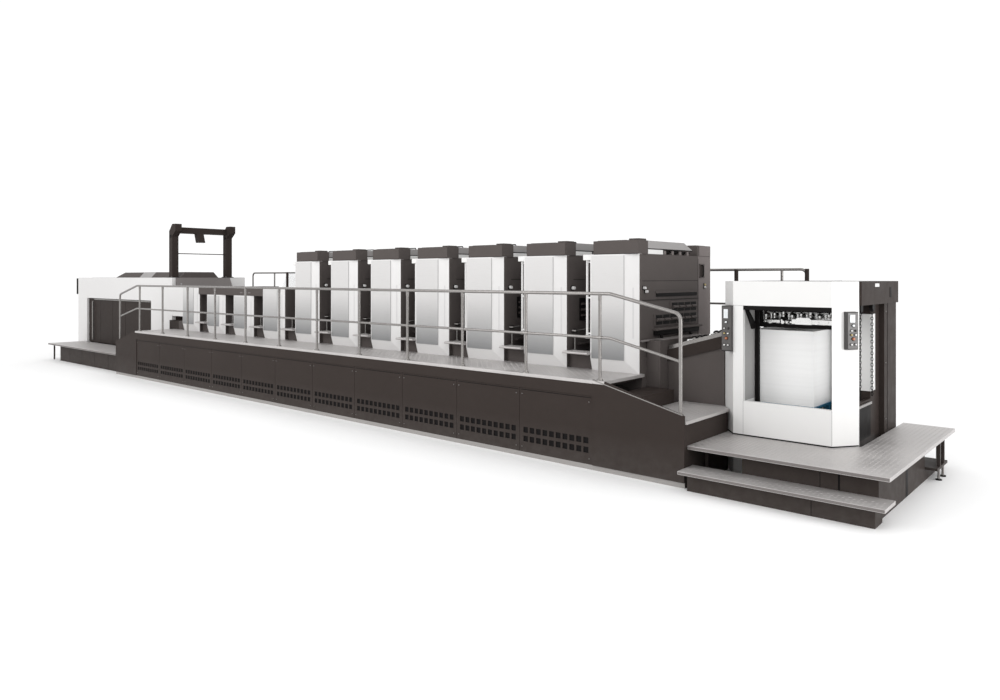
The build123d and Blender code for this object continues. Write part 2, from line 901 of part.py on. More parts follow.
def delivery():
    """Delivery housing with white front covers, guard door, hood and sloped sheet entry."""
    body_front = delivery_front + delivery_cover_depth
    body_left = delivery_left + delivery_cover_depth
    body = block(body_left, delivery_right, body_front, unit_back, 0, delivery_height)
    body += block(delivery_right, line_left, tower_front, unit_back, 0, transfer_height)
    node("delivery_body", body)
    header_plan = [
        (delivery_left, unit_back),
        (delivery_left, delivery_front + delivery_corner),
        (delivery_left + delivery_corner, delivery_front),
        (delivery_right, delivery_front),
        (delivery_right, body_front),
        (delivery_left + delivery_cover_depth, body_front),
        (delivery_left + delivery_cover_depth, unit_back),
    ]
    node("delivery_header", along_z(header_plan, delivery_header_low, delivery_height))
    post_right = delivery_left + delivery_post_width
    post_plan = [
        (delivery_left, body_front),
        (delivery_left, delivery_front + delivery_corner / 2),
        (delivery_left + delivery_corner, delivery_front),
        (post_right, delivery_front),
        (post_right, body_front),
    ]
    node("delivery_front_panels", along_z(post_plan, 0, delivery_header_low))
    panel_left = delivery_right - delivery_panel_width
    node(
        "delivery_front_panels",
        block(panel_left, delivery_right, delivery_front, body_front, 0, delivery_header_low),
    )
    door_left = post_right + delivery_door_gap
    door_right = panel_left - delivery_door_gap
    door = block(
        door_left, door_right,
        body_front - delivery_door_thickness, body_front,
        platform_height + delivery_door_gap, delivery_header_low - delivery_door_gap,
    )
    node("delivery_guard_door", door)
    hood_top = delivery_height + delivery_hood_height
    hood_side = [
        (delivery_hood_left, delivery_height),
        (delivery_right, delivery_height),
        (delivery_right, hood_top),
        (delivery_hood_left + delivery_hood_slope, hood_top),
    ]
    hood_end = [
        (delivery_hood_front, delivery_height),
        (delivery_hood_back, delivery_height),
        (delivery_hood_back - delivery_hood_lean, hood_top),
        (delivery_hood_front + delivery_hood_lean, hood_top),
    ]
    hood = along_y(hood_side, delivery_hood_front, delivery_hood_back)
    node("delivery_hood", hood & along_x(hood_end, delivery_hood_left, delivery_right))
    entry = [
        (delivery_right, delivery_height - delivery_slope_height),
        (delivery_right + delivery_slope_run, delivery_height - delivery_slope_height),
        (delivery_right, delivery_height),
    ]
    node("delivery_entry_slope", along_y(entry, body_front, delivery_slope_back))


def delivery_platform():
    low = platform_height - platform_thickness
    right = gallery_left - delivery_platform_gap
    back = delivery_front - delivery_platform_gap
    node("platform_decks", block(delivery_platform_left, right, platform_front, back, low, platform_height))
    front = platform_front + platform_panel_inset
    panel_left = delivery_platform_left + platform_leg_bay
    panel = block(panel_left, right, front, front + platform_panel_thickness, 0, low)
    legs = []
    x = delivery_platform_left + platform_leg
    for y in (front, back - platform_leg):
        legs.append(block(x, x + platform_leg, y, y + platform_leg, 0, low))
    node("platform_frames", panel, *legs)


def gantry():
    """Dark portal over the delivery entry, with raised cheeks, a lamp and a tie rod."""
    half = gantry_section / 2
    cheek = [
        (gantry_x - half, delivery_height),
        (gantry_x + half, delivery_height),
        (gantry_x + half, gantry_top - gantry_arm_height),
        (gantry_x + gantry_arm_reach, gantry_top),
        (gantry_x + gantry_arm_reach, gantry_top + gantry_arm_rise),
        (gantry_x + half, gantry_top + gantry_arm_rise),
        (gantry_x - half, gantry_top),
    ]
    beam_low = gantry_top - gantry_beam_height / 3
    frame = along_y(cheek, gantry_front, gantry_front + gantry_section)
    frame += along_y(cheek, gantry_back, gantry_back + gantry_section)
    frame += block(
        gantry_x - half, gantry_x + half,
        gantry_front + gantry_section, gantry_back,
        beam_low, beam_low + gantry_beam_height,
    )
    inner0 = gantry_front + gantry_section
    node("gantry_frame", frame + rod_y(gantry_rod_diameter, gantry_x, inner0, gantry_back, gantry_rod_height))
    lamp_y = inner0 + gantry_lamp_share * (gantry_back - inner0)
    lamp = [
        (gantry_x - half, beam_low),
        (gantry_x + half, beam_low),
        (gantry_x + gantry_section, beam_low - gantry_lamp_drop),
        (gantry_x, beam_low - gantry_lamp_drop),
    ]
    node("gantry_lamp", along_y(lamp, lamp_y - gantry_lamp_width / 2, lamp_y + gantry_lamp_width / 2))


def drive_side():
    """Walkway along the drive side with closed front panels and a handrail."""
    inner = unit_back + drive_gap
    under = drive_deck_height - deck_thickness
    node("gallery_decks", block(gallery_left, drive_right_end, inner, drive_outer, under, drive_deck_height))
    length = drive_right_end - gallery_left
    bays = round(length / drive_rail_bay)
    bay = length / bays
    panels = []
    for index in range(bays):
        x0 = gallery_left + index * bay + seam_gap / 2
        panels.append(
            block(
                x0, x0 + bay - seam_gap,
                drive_outer - panel_back, drive_outer - fascia_proud,
                0, under - drive_panel_gap,
            )
        )
    node("drive_panels", *panels)
    for index in range(bays + 1):
        x0 = gallery_left + index * (length - post_section) / bays
        x1 = x0 + post_section
        y0 = inner + post_section
        y1 = drive_outer - panel_back - post_section
        inner_post = block(x0, x1, inner, y0, 0, under)
        outer_post = block(x0, x1, y1, y1 + post_section, 0, under)
        beam = block(x0, x1, y0, y1, under - post_section, under)
        node("gallery_frames", inner_post, outer_post, beam)
    y = drive_outer - rail_inset
    top = drive_deck_height + drive_rail_height
    middle = drive_deck_height + mid_rail_height
    first = gallery_left + post_section
    last = drive_right_end - post_section
    path = [(first, y, drive_deck_height), (first, y, top), (last, y, top), (last, y, drive_deck_height)]
    rail = tube(rail_diameter, path, rail_bend)
    rail += rod_x(mid_rail_diameter, first, last, y, middle)
    pitch = (last - first) / bays
    for index in range(1, bays):
        rail += rod_z(rail_post_diameter, first + index * pitch, y, drive_deck_height, top)
    rail += rod_z(rail_post_diameter, last - drive_gate_run, y, drive_deck_height, top)
    node("drive_handrail", rail)


press_bed()
printing_line()
low_line()
treads()
gallery()
handrail()
stairs()
feeder_platform()
feeder_housing()
control_boxes()
pile()
suction_head()
feed_table()
delivery()
delivery_platform()
gantry()
drive_side()

os.makedirs("parts", exist_ok=True)
for name, solids in nodes.items():
    placed = [Pos(-middle_x, -middle_y, 0) * solid for solid in solids]
    export_step(Compound(children=placed), f"parts/{name}.step")
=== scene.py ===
"""Looks of a sheet-fed offset printing press line: finishes, fittings, trim and the studio stage."""
import math

import bmesh
import bpy
from bpy.props import FloatProperty, FloatVectorProperty, PointerProperty
from bpy.types import Operator, Panel, PropertyGroup
from mathutils import Matrix, Vector


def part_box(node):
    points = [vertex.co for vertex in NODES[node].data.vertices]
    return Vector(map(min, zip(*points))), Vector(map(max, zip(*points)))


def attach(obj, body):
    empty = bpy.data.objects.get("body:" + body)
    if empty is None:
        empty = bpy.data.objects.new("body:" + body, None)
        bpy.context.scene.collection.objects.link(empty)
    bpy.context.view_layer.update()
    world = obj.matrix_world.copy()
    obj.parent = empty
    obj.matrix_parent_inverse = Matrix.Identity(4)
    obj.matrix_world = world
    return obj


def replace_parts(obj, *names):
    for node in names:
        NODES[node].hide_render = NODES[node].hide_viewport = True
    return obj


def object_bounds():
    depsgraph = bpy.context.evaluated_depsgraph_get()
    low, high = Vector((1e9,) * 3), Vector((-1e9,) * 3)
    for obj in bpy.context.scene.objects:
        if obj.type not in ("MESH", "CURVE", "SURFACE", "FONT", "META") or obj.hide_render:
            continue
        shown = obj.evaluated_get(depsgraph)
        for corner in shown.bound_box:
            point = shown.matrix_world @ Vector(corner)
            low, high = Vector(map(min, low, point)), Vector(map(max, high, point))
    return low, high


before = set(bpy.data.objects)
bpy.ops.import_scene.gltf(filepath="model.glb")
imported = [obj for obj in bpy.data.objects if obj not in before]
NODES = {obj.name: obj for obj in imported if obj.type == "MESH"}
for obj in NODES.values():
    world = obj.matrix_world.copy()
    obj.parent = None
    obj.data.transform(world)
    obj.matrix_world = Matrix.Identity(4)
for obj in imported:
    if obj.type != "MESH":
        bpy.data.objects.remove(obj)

bl_info = {
    "name": "Printing Press Line Looks",
    "version": (1, 0, 0),
    "blender": (4, 5, 0),
    "location": "3D View > Sidebar > Press Line",
    "description": "Finishes and fittings for a sheet-fed offset printing press line",
    "category": "Object",
}

CAD_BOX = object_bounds()
PRESS = "press"
PILE = "sheet_pile"


# Sizes and colours that a user may change

def colour_property(name, description, default):
    return FloatVectorProperty(
        name=name, description=description, subtype="COLOR", default=default, min=0, max=1)


class PressPaints(PropertyGroup):
    """Colours of the painted and bare surfaces."""
    charcoal: colour_property("Charcoal", "Frames, panels and housings", (0.040, 0.032, 0.029))
    graphite: colour_property("Graphite", "Unit towers, caps and hoods", (0.096, 0.084, 0.080))
    white: colour_property("White", "Front portal of the feeder", (0.765, 0.76, 0.75))
    # Darker copy of the white paint: painted shade that the covers and the delivery front get.
    cover_white_shaded: colour_property("Cover white", "Unit covers and delivery front", (0.70, 0.69, 0.685))
    panel_top: colour_property("Panel head", "Upper colour of the shaded cover panels", (0.59, 0.58, 0.575))
    panel_low: colour_property("Panel foot", "Lower colour of the shaded cover panels", (0.20, 0.203, 0.206))
    roof_grey: colour_property("Roof grey", "Light roof hoods", (0.30, 0.287, 0.283))
    tread: colour_property("Tread plate", "Patterned deck plates", (0.49, 0.47, 0.462))
    steel: colour_property("Rail steel", "Handrails and bars", (0.26, 0.247, 0.238))
    board_blue: colour_property("Board blue", "Pile board", (0.030, 0.16, 0.28))


class PressDetails(PropertyGroup):
    """Sizes of the repeated details."""
    tread_cell: FloatProperty(
        name="Tread cell", description="Spacing of the raised bars on the decks", unit="LENGTH", default=0.05)


class PressStage(PropertyGroup):
    """Camera, floor and light of the studio."""
    camera_place: FloatVectorProperty(
        name="Camera place", description="Camera position", subtype="TRANSLATION", unit="LENGTH",
        default=(13.0071, -9.3345, 2.3367))
    camera_turn: FloatProperty(
        name="Camera turn", description="Turn of the level camera to the left", subtype="ANGLE",
        default=math.radians(41.04))
    lens: FloatProperty(name="Lens", description="Focal length", unit="CAMERA", default=27.017)
    rise: FloatProperty(name="Rise", description="Vertical lens shift", default=-0.0729)
    floor_margin: FloatProperty(
        name="Floor margin", description="Floor beyond the press on each side", unit="LENGTH", default=60.0)
    sky: FloatProperty(name="Sky", description="Strength of the even studio light", default=1.06)


# Node helpers

class Tree:
    """Short way to build a node tree: numbers or sockets go straight into the inputs."""

    def __init__(self, tree):
        self.tree = tree
        tree.nodes.clear()

    def feed(self, socket, value):
        if isinstance(value, bpy.types.NodeSocket):
            self.tree.links.new(value, socket)
        elif value is not None:
            socket.default_value = value

    def add(self, kind, inputs=None, **settings):
        node = self.tree.nodes.new(kind)
        for key, value in settings.items():
            setattr(node, key, value)
        for key, value in (inputs or {}).items():
            self.feed(node.inputs[key], value)
        return node

    def out(self, kind, inputs=None, **settings):
        """First output of a new node."""
        return self.add(kind, inputs, **settings).outputs[0]

    def math(self, operation, *values):
        return self.out("ShaderNodeMath", dict(enumerate(values)), operation=operation)

    def blend(self, first, share, second):
        """A share of the first value and the rest of the second."""
        return self.math("MULTIPLY_ADD", first, share, self.math("MULTIPLY", second, 1 - share))

    def ramp(self, value, stops):
        node = self.add("ShaderNodeValToRGB", {"Fac": value})
        elements = node.color_ramp.elements
        while len(elements) < len(stops):
            elements.new(0.5)
        for element, (place, colour) in zip(elements, stops):
            element.position = place
            element.color = (*colour, 1.0)
        return node.outputs["Color"]

    def tone(self, noise, colour, dark, light):
        """A colour that a noise makes darker and lighter by two factors."""
        return self.ramp(noise, [(0.3, shade(colour, dark)), (0.7, shade(colour, light))])

    def span(self, value, low, high, to_low=0.0, to_high=1.0):
        return self.out("ShaderNodeMapRange", {
            "Value": value, "From Min": low, "From Max": high, "To Min": to_low, "To Max": to_high})

    def spread(self, noise, low, high):
        """The middle of a noise, spread over a range."""
        return self.span(noise, 0.3, 0.7, low, high)

    def noise(self, place, scale, detail):
        return self.out("ShaderNodeTexNoise", {
            "Vector": place, "Scale": scale, "Detail": detail, "Roughness": 0.55})

    def stretched(self, place, scale, detail):
        """Noise with its own scale on each axis."""
        return self.noise(self.out("ShaderNodeMapping", {"Vector": place, "Scale": scale}), 1.0, detail)

    def height(self, place):
        return self.add("ShaderNodeSeparateXYZ", {"Vector": place}).outputs["Z"]

    def bump(self, height, strength, distance):
        return self.out("ShaderNodeBump", {"Height": height, "Strength": strength, "Distance": distance})

    def surface(self, base, gloss, skin=None, **extra):
        shader = self.out("ShaderNodeBsdfPrincipled", {
            "Base Color": base, "Roughness": gloss, "Normal": skin, **extra})
        self.add("ShaderNodeOutputMaterial", {"Surface": shader})


# Finishes

def shade(colour, factor):
    """A colour made lighter or darker."""
    return tuple(min(1.0, channel * factor) for channel in colour[:3])


def new_material(name):
    """Material with an empty node tree, and the object coordinates that its patterns lie on."""
    material = bpy.data.materials.new(name)
    material.use_nodes = True
    tree = Tree(material.node_tree)
    return material, tree, tree.add("ShaderNodeTexCoord").outputs["Object"]


def paint(name, colour, rough=0.38, cloud=0.06, peel=0.05, dust_top=0.0, shine=0.5):
    """Sprayed machine paint: faint cloudiness, fine orange peel and a little floor dust low down."""
    material, tree, place = new_material(name)
    fine = tree.noise(place, 7.0, 5.0)
    base = tree.tone(tree.blend(fine, 0.35, tree.noise(place, 0.9, 3.0)), colour, 1 - cloud, 1 + cloud)
    if dust_top:
        fade = tree.span(tree.height(place), 0.0, dust_top, 0.10, 0.0)
        mix = tree.add("ShaderNodeMix", data_type="RGBA")
        tree.feed(mix.inputs[0], tree.math("MULTIPLY", fade, tree.noise(place, 11.0, 6.0)))
        tree.feed(mix.inputs[6], base)
        tree.feed(mix.inputs[7], (0.42, 0.40, 0.38, 1.0))
        base = mix.outputs[2]
    skin = tree.bump(tree.noise(place, 380.0, 2.0), peel, 0.0006)
    tree.surface(base, tree.spread(fine, rough - 0.05, rough + 0.06), skin, **{"Specular IOR Level": shine})
    return material


def shaded_panel(name, top_colour, low_colour, low, high, rough=0.3):
    """Cover panel whose tone darkens towards its foot, over fine brushing."""
    material, tree, place = new_material(name)
    height = tree.span(tree.height(place), low, high)
    cloud = tree.math("SUBTRACT", tree.noise(place, 1.6, 3.0), 0.5)
    tone = tree.math("ADD", height, tree.math("MULTIPLY", cloud, 0.05))
    middle = tuple((a + b) / 2 for a, b in zip(top_colour, low_colour))
    base = tree.ramp(tone, [(0.0, low_colour), (0.32, middle), (0.72, top_colour)])
    grain = tree.stretched(place, (3.0, 3.0, 260.0), 3.0)
    tree.surface(base, tree.spread(grain, rough - 0.04, rough + 0.06), tree.bump(grain, 0.03, 0.0005),
                 **{"Coat Weight": 0.15, "Coat Roughness": 0.1})
    return material


def tread_plate(name, colour):
    """Worn aluminium: cloudy tone, fine scuffs and duller walked patches."""
    material, tree, place = new_material(name)
    wear = tree.noise(place, 2.2, 6.0)
    scuffs = tree.stretched(place, (18.0, 150.0, 60.0), 4.0)
    base = tree.tone(tree.blend(scuffs, 0.3, wear), colour, 0.88, 1.10)
    tree.surface(base, tree.spread(wear, 0.36, 0.52), tree.bump(scuffs, 0.06, 0.0005), Metallic=0.45)
    return material


def brushed(name, colour, rough=0.26):
    """Brushed bare metal with fine lines across its height."""
    material, tree, place = new_material(name)
    lines = tree.stretched(place, (40.0, 40.0, 400.0), 4.0)
    base = tree.tone(tree.noise(place, 4.0, 4.0), colour, 0.92, 1.05)
    gloss = tree.spread(lines, rough - 0.06, rough + 0.08)
    tree.surface(base, gloss, tree.bump(lines, 0.05, 0.0004), Metallic=0.85)
    return material


def moulded(name, colour, rough=0.45):
    """Moulded plastic with a fine pebble grain."""
    material, tree, place = new_material(name)
    cloud = tree.noise(place, 9.0, 4.0)
    grain = tree.add("ShaderNodeTexVoronoi", {"Vector": place, "Scale": 520.0}).outputs["Distance"]
    gloss = tree.spread(cloud, rough - 0.05, rough + 0.06)
    tree.surface(tree.tone(cloud, colour, 0.9, 1.1), gloss, tree.bump(grain, 0.08, 0.0006))
    return material


def clear_sheet(name, tint):
    """Clear guard sheet with a faint tint and light smudges."""
    material, tree, place = new_material(name)
    smudge = tree.noise(place, 5.0, 5.0)
    gloss = tree.span(smudge, 0.35, 0.75, 0.04, 0.14)
    tree.surface(tree.tone(smudge, tint, 0.96, 1.0), gloss, Alpha=tree.spread(smudge, 0.10, 0.18))
    return material


def sheet_stack(name):
    """Sides of a pile of sheets: fine level lines, slightly uneven in tone."""
    material, tree, place = new_material(name)
    lines = tree.stretched(place, (2.0, 2.0, 900.0), 3.0)
    tone = tree.blend(tree.stretched(place, (0.6, 0.6, 24.0), 3.0), 0.5, lines)
    base = tree.ramp(tone, [(0.3, (0.89, 0.89, 0.885)), (0.65, (0.95, 0.95, 0.945))])
    tree.surface(base, 0.75, tree.bump(lines, 0.08, 0.0006))
    return material


FINISH = {}
DULL = {"shine": 0.02}  # keeps dark paint dark at a glancing view
SMOOTH = {"cloud": 0.01, "peel": 0.012}
SHADED_SPAN = (1.25, 2.30)  # heights between which the cover panels change tone


def make_finishes(paints):
    """All finishes of the press, by plain name."""
    FINISH.update({
        "charcoal": paint("charcoal_paint", paints.charcoal, dust_top=0.5, **DULL),
        "graphite": paint("graphite_paint", paints.graphite, rough=0.42, **DULL),
        "black": paint("black_paint", (0.012, 0.011, 0.011), rough=0.35, **DULL),
        "white": paint("white_paint", paints.white, rough=0.34, **SMOOTH),
        # Darker copy of the white paint, painting the shade on the covers and the delivery front.
        "cover": paint("cover_white_shaded_paint", paints.cover_white_shaded, rough=0.36, **SMOOTH),
        "roof": paint("roof_grey_paint", paints.roof_grey, rough=0.4, cloud=0.03),
        "panel": shaded_panel("shaded_cover_panel", paints.panel_top, paints.panel_low, *SHADED_SPAN),
        "slope": paint("slope_grey_paint", (0.17, 0.155, 0.15), rough=0.5, shine=0.2),
        "gear": paint("gear_cover_paint", (0.190, 0.168, 0.163), rough=0.5, **DULL),
        # Grey that paints the shade on the inner face of the feeder's white left column.
        "jamb_shade": paint("jamb_shade_grey_paint", (0.34, 0.335, 0.33), rough=0.5, cloud=0.03),
        "plinth": paint("plinth_grey_paint", (0.30, 0.285, 0.275), rough=0.5, dust_top=0.1),
        "tread": tread_plate("tread_plate_metal", paints.tread),
        "rail": brushed("rail_steel", paints.steel),
        "bright": brushed("bright_plated_metal", (0.82, 0.82, 0.81), rough=0.16),
        "paper": sheet_stack("stacked_sheets"),
        "blue": moulded("blue_board_plastic", paints.board_blue),
        "case": moulded("dark_case_plastic", (0.045, 0.041, 0.040)),
        "case_face": moulded("case_face_plastic", (0.075, 0.070, 0.068), rough=0.35),
        "seam": paint("seam_grey_paint", (0.34, 0.34, 0.34), rough=0.6),
        "seam_light": paint("groove_grey_paint", (0.62, 0.61, 0.61), rough=0.5),
        "display": moulded("pale_display_plastic", (0.80, 0.83, 0.85), rough=0.2),
        "amber": moulded("amber_button_plastic", (0.46, 0.36, 0.15), rough=0.4),
        "orange": moulded("orange_button_plastic", (0.36, 0.125, 0.06), rough=0.4),
        "clear": clear_sheet("clear_guard_sheet", (0.86, 0.93, 0.95)),
    })


CAD_FINISH = {
    "charcoal": "press_bed gallery_vent_panels gallery_end_panels gallery_fascia gallery_frames drive_panels "
                "stair_bases platform_frames delivery_body delivery_guard_door feed_board feeder_frame "
                "feeder_end_header feeder_roof feeder_back_panels gantry_frame gantry_lamp",
    "graphite": "coater_unit_1 coater_unit_2 dryer_unit dryer_bridge unit_caps delivery_hood infeed_cabinet "
                "feed_board_wall printing_unit_1 printing_unit_2 printing_unit_3 printing_unit_4 "
                "printing_unit_5 printing_unit_6 printing_unit_7",
    "white": "feeder_front_columns feeder_header feeder_sill",
    "cover": "unit_covers delivery_header delivery_front_panels unit_grab_bars",
    "panel": "unit_cover_panels",
    "slope": "delivery_entry_slope",
    "plinth": "gallery_plinth",
    "roof": "unit_roof_hoods",
    "tread": "gallery_decks platform_decks stair_treads unit_treads",
    "rail": "gallery_handrail drive_handrail",
    "black": "feeder_inner_frame",
    "bright": "feeder_head pile_lift_bars",
    "paper": "paper_pile",
    "blue": "pile_board",
    "clear": "feeder_window coater_guard",
    "case": "control_boxes",
}


# Mesh helpers

AXES = {"x": Vector((1, 0, 0)), "y": Vector((0, 1, 0)), "z": Vector((0, 0, 1))}
PULL_WIRE = 0.009  # radius of the bow handles' wire
PULL_BEND = 0.02
ARC_STEPS = 6  # of a bent corner
ARC_REACH = 0.49  # share of a leg that the bend at its end may take
DIAGONAL = 0.7071  # from a unit square's middle to its corner


def run(start, length):
    """Span from a start, with the lower end first."""
    return sorted((start, start + length))


def about(middle, half):
    return middle - half, middle + half


def inside(low, high, inset):
    return low + inset, high - inset


class Piece:
    """Gathers small solids and hands them over as one mesh that rides on a body."""

    def __init__(self, name):
        self.name = name
        self.work = bmesh.new()
        self.finishes = []

    def take(self, faces, finish):
        if finish not in self.finishes:
            self.finishes.append(finish)
        for face in faces:
            face.material_index = self.finishes.index(finish)

    def box(self, x, y, z, finish, soft=0.0):
        """Block between pairs of x, y and z; soft rounds its edges."""
        verts = bmesh.ops.create_cube(self.work, size=1.0)["verts"]
        for vert in verts:
            vert.co = [span[0] if part < 0 else span[1] for part, span in zip(vert.co, (x, y, z))]
        if soft:
            edges = {edge for vert in verts for edge in vert.link_edges}
            verts = bmesh.ops.bevel(
                self.work, geom=list(edges), offset=soft, segments=2, profile=0.5, affect="EDGES")["verts"]
        self.take({face for vert in verts for face in vert.link_faces}, finish)

    def plates(self, wall, rows):
        """Plates on a wall that faces along X: depth, y span, z span, finish and edge radius of each."""
        for depth, y, z, finish, soft in rows:
            self.box((wall, wall + depth), y, z, finish, soft)

    def shell(self, rings, finish):
        """Closed solid between two rings of corners."""
        low, high = ([self.work.verts.new(corner) for corner in ring] for ring in rings)
        faces = [self.work.faces.new(low), self.work.faces.new(high)]
        for i in range(len(low)):
            j = (i + 1) % len(low)
            faces.append(self.work.faces.new((low[i], low[j], high[j], high[i])))
        bmesh.ops.recalc_face_normals(self.work, faces=faces)
        self.take(faces, finish)

    def prism(self, outline, axis, low, high, finish):
        """Outline in the plane across an axis, drawn out along it."""
        order = {"x": (2, 0, 1), "y": (0, 2, 1), "z": (0, 1, 2)}[axis]
        self.shell([[[(u, v, level)[i] for i in order] for u, v in outline] for level in (low, high)], finish)

    def slab(self, corners, thickness, finish):
        """Flat plate over corners that go round anticlockwise as seen from outside."""
        corners = [Vector(corner) for corner in corners]
        out = (corners[1] - corners[0]).cross(corners[2] - corners[1]).normalized() * thickness
        self.shell([corners, [corner + out for corner in corners]], finish)

    def rod(self, start, end, radius, finish, sides=14, tip=None):
        """Round bar from start to end; tip is the radius at its end."""
        start, end = Vector(start), Vector(end)
        way = end - start
        turn = way.to_track_quat("Z", "Y").to_matrix().to_4x4()
        made = bmesh.ops.create_cone(
            self.work, cap_ends=True, segments=sides, radius1=radius, radius2=radius if tip is None else tip,
            depth=way.length, matrix=Matrix.Translation((start + end) / 2) @ turn)
        faces = {face for vert in made["verts"] for face in vert.link_faces}
        for face in faces:
            face.smooth = len(face.verts) == 4
            if not face.smooth:
                for edge in face.edges:
                    edge.smooth = False
        self.take(faces, finish)

    def pin(self, start, axis, length, radius, finish, sides=14, tip=None):
        """Round bar from a start along an axis."""
        self.rod(start, Vector(start) + AXES[axis] * length, radius, finish, sides, tip)

    def tube(self, points, radius, finish, bend=0.0, sides=12):
        """Round bar along a path whose corners are bent to a radius."""
        path = rounded_path([Vector(point) for point in points], bend)
        rings = []
        side = None
        for i, place in enumerate(path):
            ahead = (path[min(i + 1, len(path) - 1)] - path[max(i - 1, 0)]).normalized()
            if side is None:
                side = ahead.orthogonal().normalized()
            side = (side - ahead * side.dot(ahead)).normalized()
            up = ahead.cross(side)
            angles = [math.tau * k / sides for k in range(sides)]
            rings.append([self.work.verts.new(place + radius * (math.cos(angle) * side + math.sin(angle) * up))
                          for angle in angles])
        faces = []
        for first, second in zip(rings, rings[1:]):
            for k in range(sides):
                n = (k + 1) % sides
                faces.append(self.work.faces.new((first[k], first[n], second[n], second[k])))
                faces[-1].smooth = True
        for ring in (rings[0], rings[-1]):
            faces.append(self.work.faces.new(ring))
            for edge in faces[-1].edges:
                edge.smooth = False
        bmesh.ops.recalc_face_normals(self.work, faces=faces)
        self.take(faces, finish)

    def pull(self, foot, head, out):
        """Bow handle between two feet, standing out from a face."""
        foot, head, out = Vector(foot), Vector(head), Vector(out)
        self.tube([foot, foot + out, head + out, head], PULL_WIRE, "black", PULL_BEND)

    def louvres(self, x, z, face, out, count, finish):
        """Sloped slats over a black plate that paints the shade of the opening, in a wall that faces along Y."""
        # Black plate: painted shade inside the opening behind the slats.
        self.box(x, run(face, out * 0.2), z, "black")
        step = (z[1] - z[0]) / count
        slat = ((0, 0.95), (out, 0.36), (out, 0.20), (0, 0.72))  # depth and share of a step of each corner
        for k in range(count):
            self.prism([(face + depth, z[0] + k * step + step * share) for depth, share in slat], "x", *x, finish)

    def close(self):
        mesh = bpy.data.meshes.new(self.name)
        self.work.to_mesh(mesh)
        self.work.free()
        for finish in self.finishes:
            mesh.materials.append(FINISH[finish])
        return seat(self.name, mesh, PRESS)


def rounded_path(points, bend):
    """Path through points with each corner replaced by an arc."""
    if not bend:
        return points
    path = [points[0]]
    for before, corner, after in zip(points, points[1:], points[2:]):
        back = (before - corner).normalized()
        on = (after - corner).normalized()
        half = back.angle(on) / 2
        leg = min((before - corner).length, (after - corner).length)
        reach = min(bend / math.tan(half), leg * ARC_REACH)
        inner = corner + (back + on).normalized() * (reach / math.cos(half))
        start = corner + back * reach - inner
        end = corner + on * reach - inner
        for step in range(ARC_STEPS + 1):
            spoke = start.slerp(end, step / ARC_STEPS)
            path.append(inner + spoke * start.length / spoke.length)
    return path + [points[-1]]


def seat(name, mesh, body):
    """Link a finished mesh as a piece and let it ride on a body."""
    piece = bpy.data.objects.new(name, mesh)
    bpy.context.scene.collection.objects.link(piece)
    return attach(piece, body)


# Geometry Nodes helpers

def grown(name, points, tree, values, body=PRESS):
    """Run a node tree on a mesh of points and seat the plain mesh that it gives."""
    mesh = bpy.data.meshes.new(name + "_points")
    mesh.from_pydata([place for place, _ in points], [], [])
    facing = mesh.attributes.new("facing", "FLOAT_VECTOR", "POINT")
    for item, (_, way) in zip(facing.data, points):
        item.vector = way
    host = bpy.data.objects.new(name + "_points", mesh)
    bpy.context.scene.collection.objects.link(host)
    modifier = host.modifiers.new("repeat", "NODES")
    modifier.node_group = tree
    for socket in tree.interface.items_tree:
        if socket.in_out == "INPUT" and socket.name in values:
            modifier[socket.identifier] = values[socket.name]
    graph = bpy.context.evaluated_depsgraph_get()
    plain = bpy.data.meshes.new_from_object(host.evaluated_get(graph))
    plain.name = name
    host.modifiers.clear()
    bpy.data.objects.remove(host)
    return seat(name, plain, body)


def new_growth(name, sizes):
    """Empty node tree with geometry in and out and named sizes."""
    group = bpy.data.node_groups.new(name, "GeometryNodeTree")
    tree = Tree(group)
    face = group.interface
    face.new_socket(name="Geometry", in_out="INPUT", socket_type="NodeSocketGeometry")
    for label, default in sizes.items():
        face.new_socket(name=label, in_out="INPUT", socket_type="NodeSocketFloat").default_value = default
    face.new_socket(name="Geometry", in_out="OUTPUT", socket_type="NodeSocketGeometry")
    return group, tree, tree.add("NodeGroupInput").outputs


def end_growth(tree, shape, finish):
    real = tree.out("GeometryNodeRealizeInstances", {"Geometry": shape})
    dressed = tree.out("GeometryNodeSetMaterial", {"Geometry": real, "Material": FINISH[finish]})
    tree.add("NodeGroupOutput", {"Geometry": dressed})


def stand(tree, sizes, shape, axis, finish, scale=None):
    """Stand a shape on every point, with one axis along the point's facing."""
    way = tree.out("GeometryNodeInputNamedAttribute", {"Name": "facing"}, data_type="FLOAT_VECTOR")
    turn = tree.out("FunctionNodeAlignRotationToVector", {"Vector": way}, axis=axis)
    placed = tree.out("GeometryNodeInstanceOnPoints", {
        "Points": sizes["Geometry"], "Instance": shape, "Rotation": turn, "Scale": scale})
    end_growth(tree, placed, finish)


def bolt_tree(finish):
    """Hexagon bolt heads."""
    group, tree, sizes = new_growth(f"bolt_heads_{finish}", {"Radius": 0.012, "Height": 0.008})
    head = tree.out("GeometryNodeMeshCone", {
        "Vertices": 6, "Radius Bottom": sizes["Radius"], "Depth": sizes["Height"],
        "Radius Top": tree.math("MULTIPLY", sizes["Radius"], 0.86)})
    stand(tree, sizes, head, "Z", finish)
    return group


def lug_tree():
    """Low bars of tread plate."""
    group, tree, sizes = new_growth("tread_lugs", {"Length": 0.030, "Width": 0.009, "Height": 0.0025})
    bar = tree.out("GeometryNodeMeshCone", {
        "Vertices": 4, "Radius Bottom": DIAGONAL, "Radius Top": 0.38, "Depth": 1.0})
    square = tree.out("GeometryNodeTransform", {"Geometry": bar, "Rotation": (0.0, 0.0, math.radians(45))})
    size = tree.out("ShaderNodeCombineXYZ", {"X": sizes["Length"], "Y": sizes["Width"], "Z": sizes["Height"]})
    stand(tree, sizes, square, "X", "tread", size)
    return group


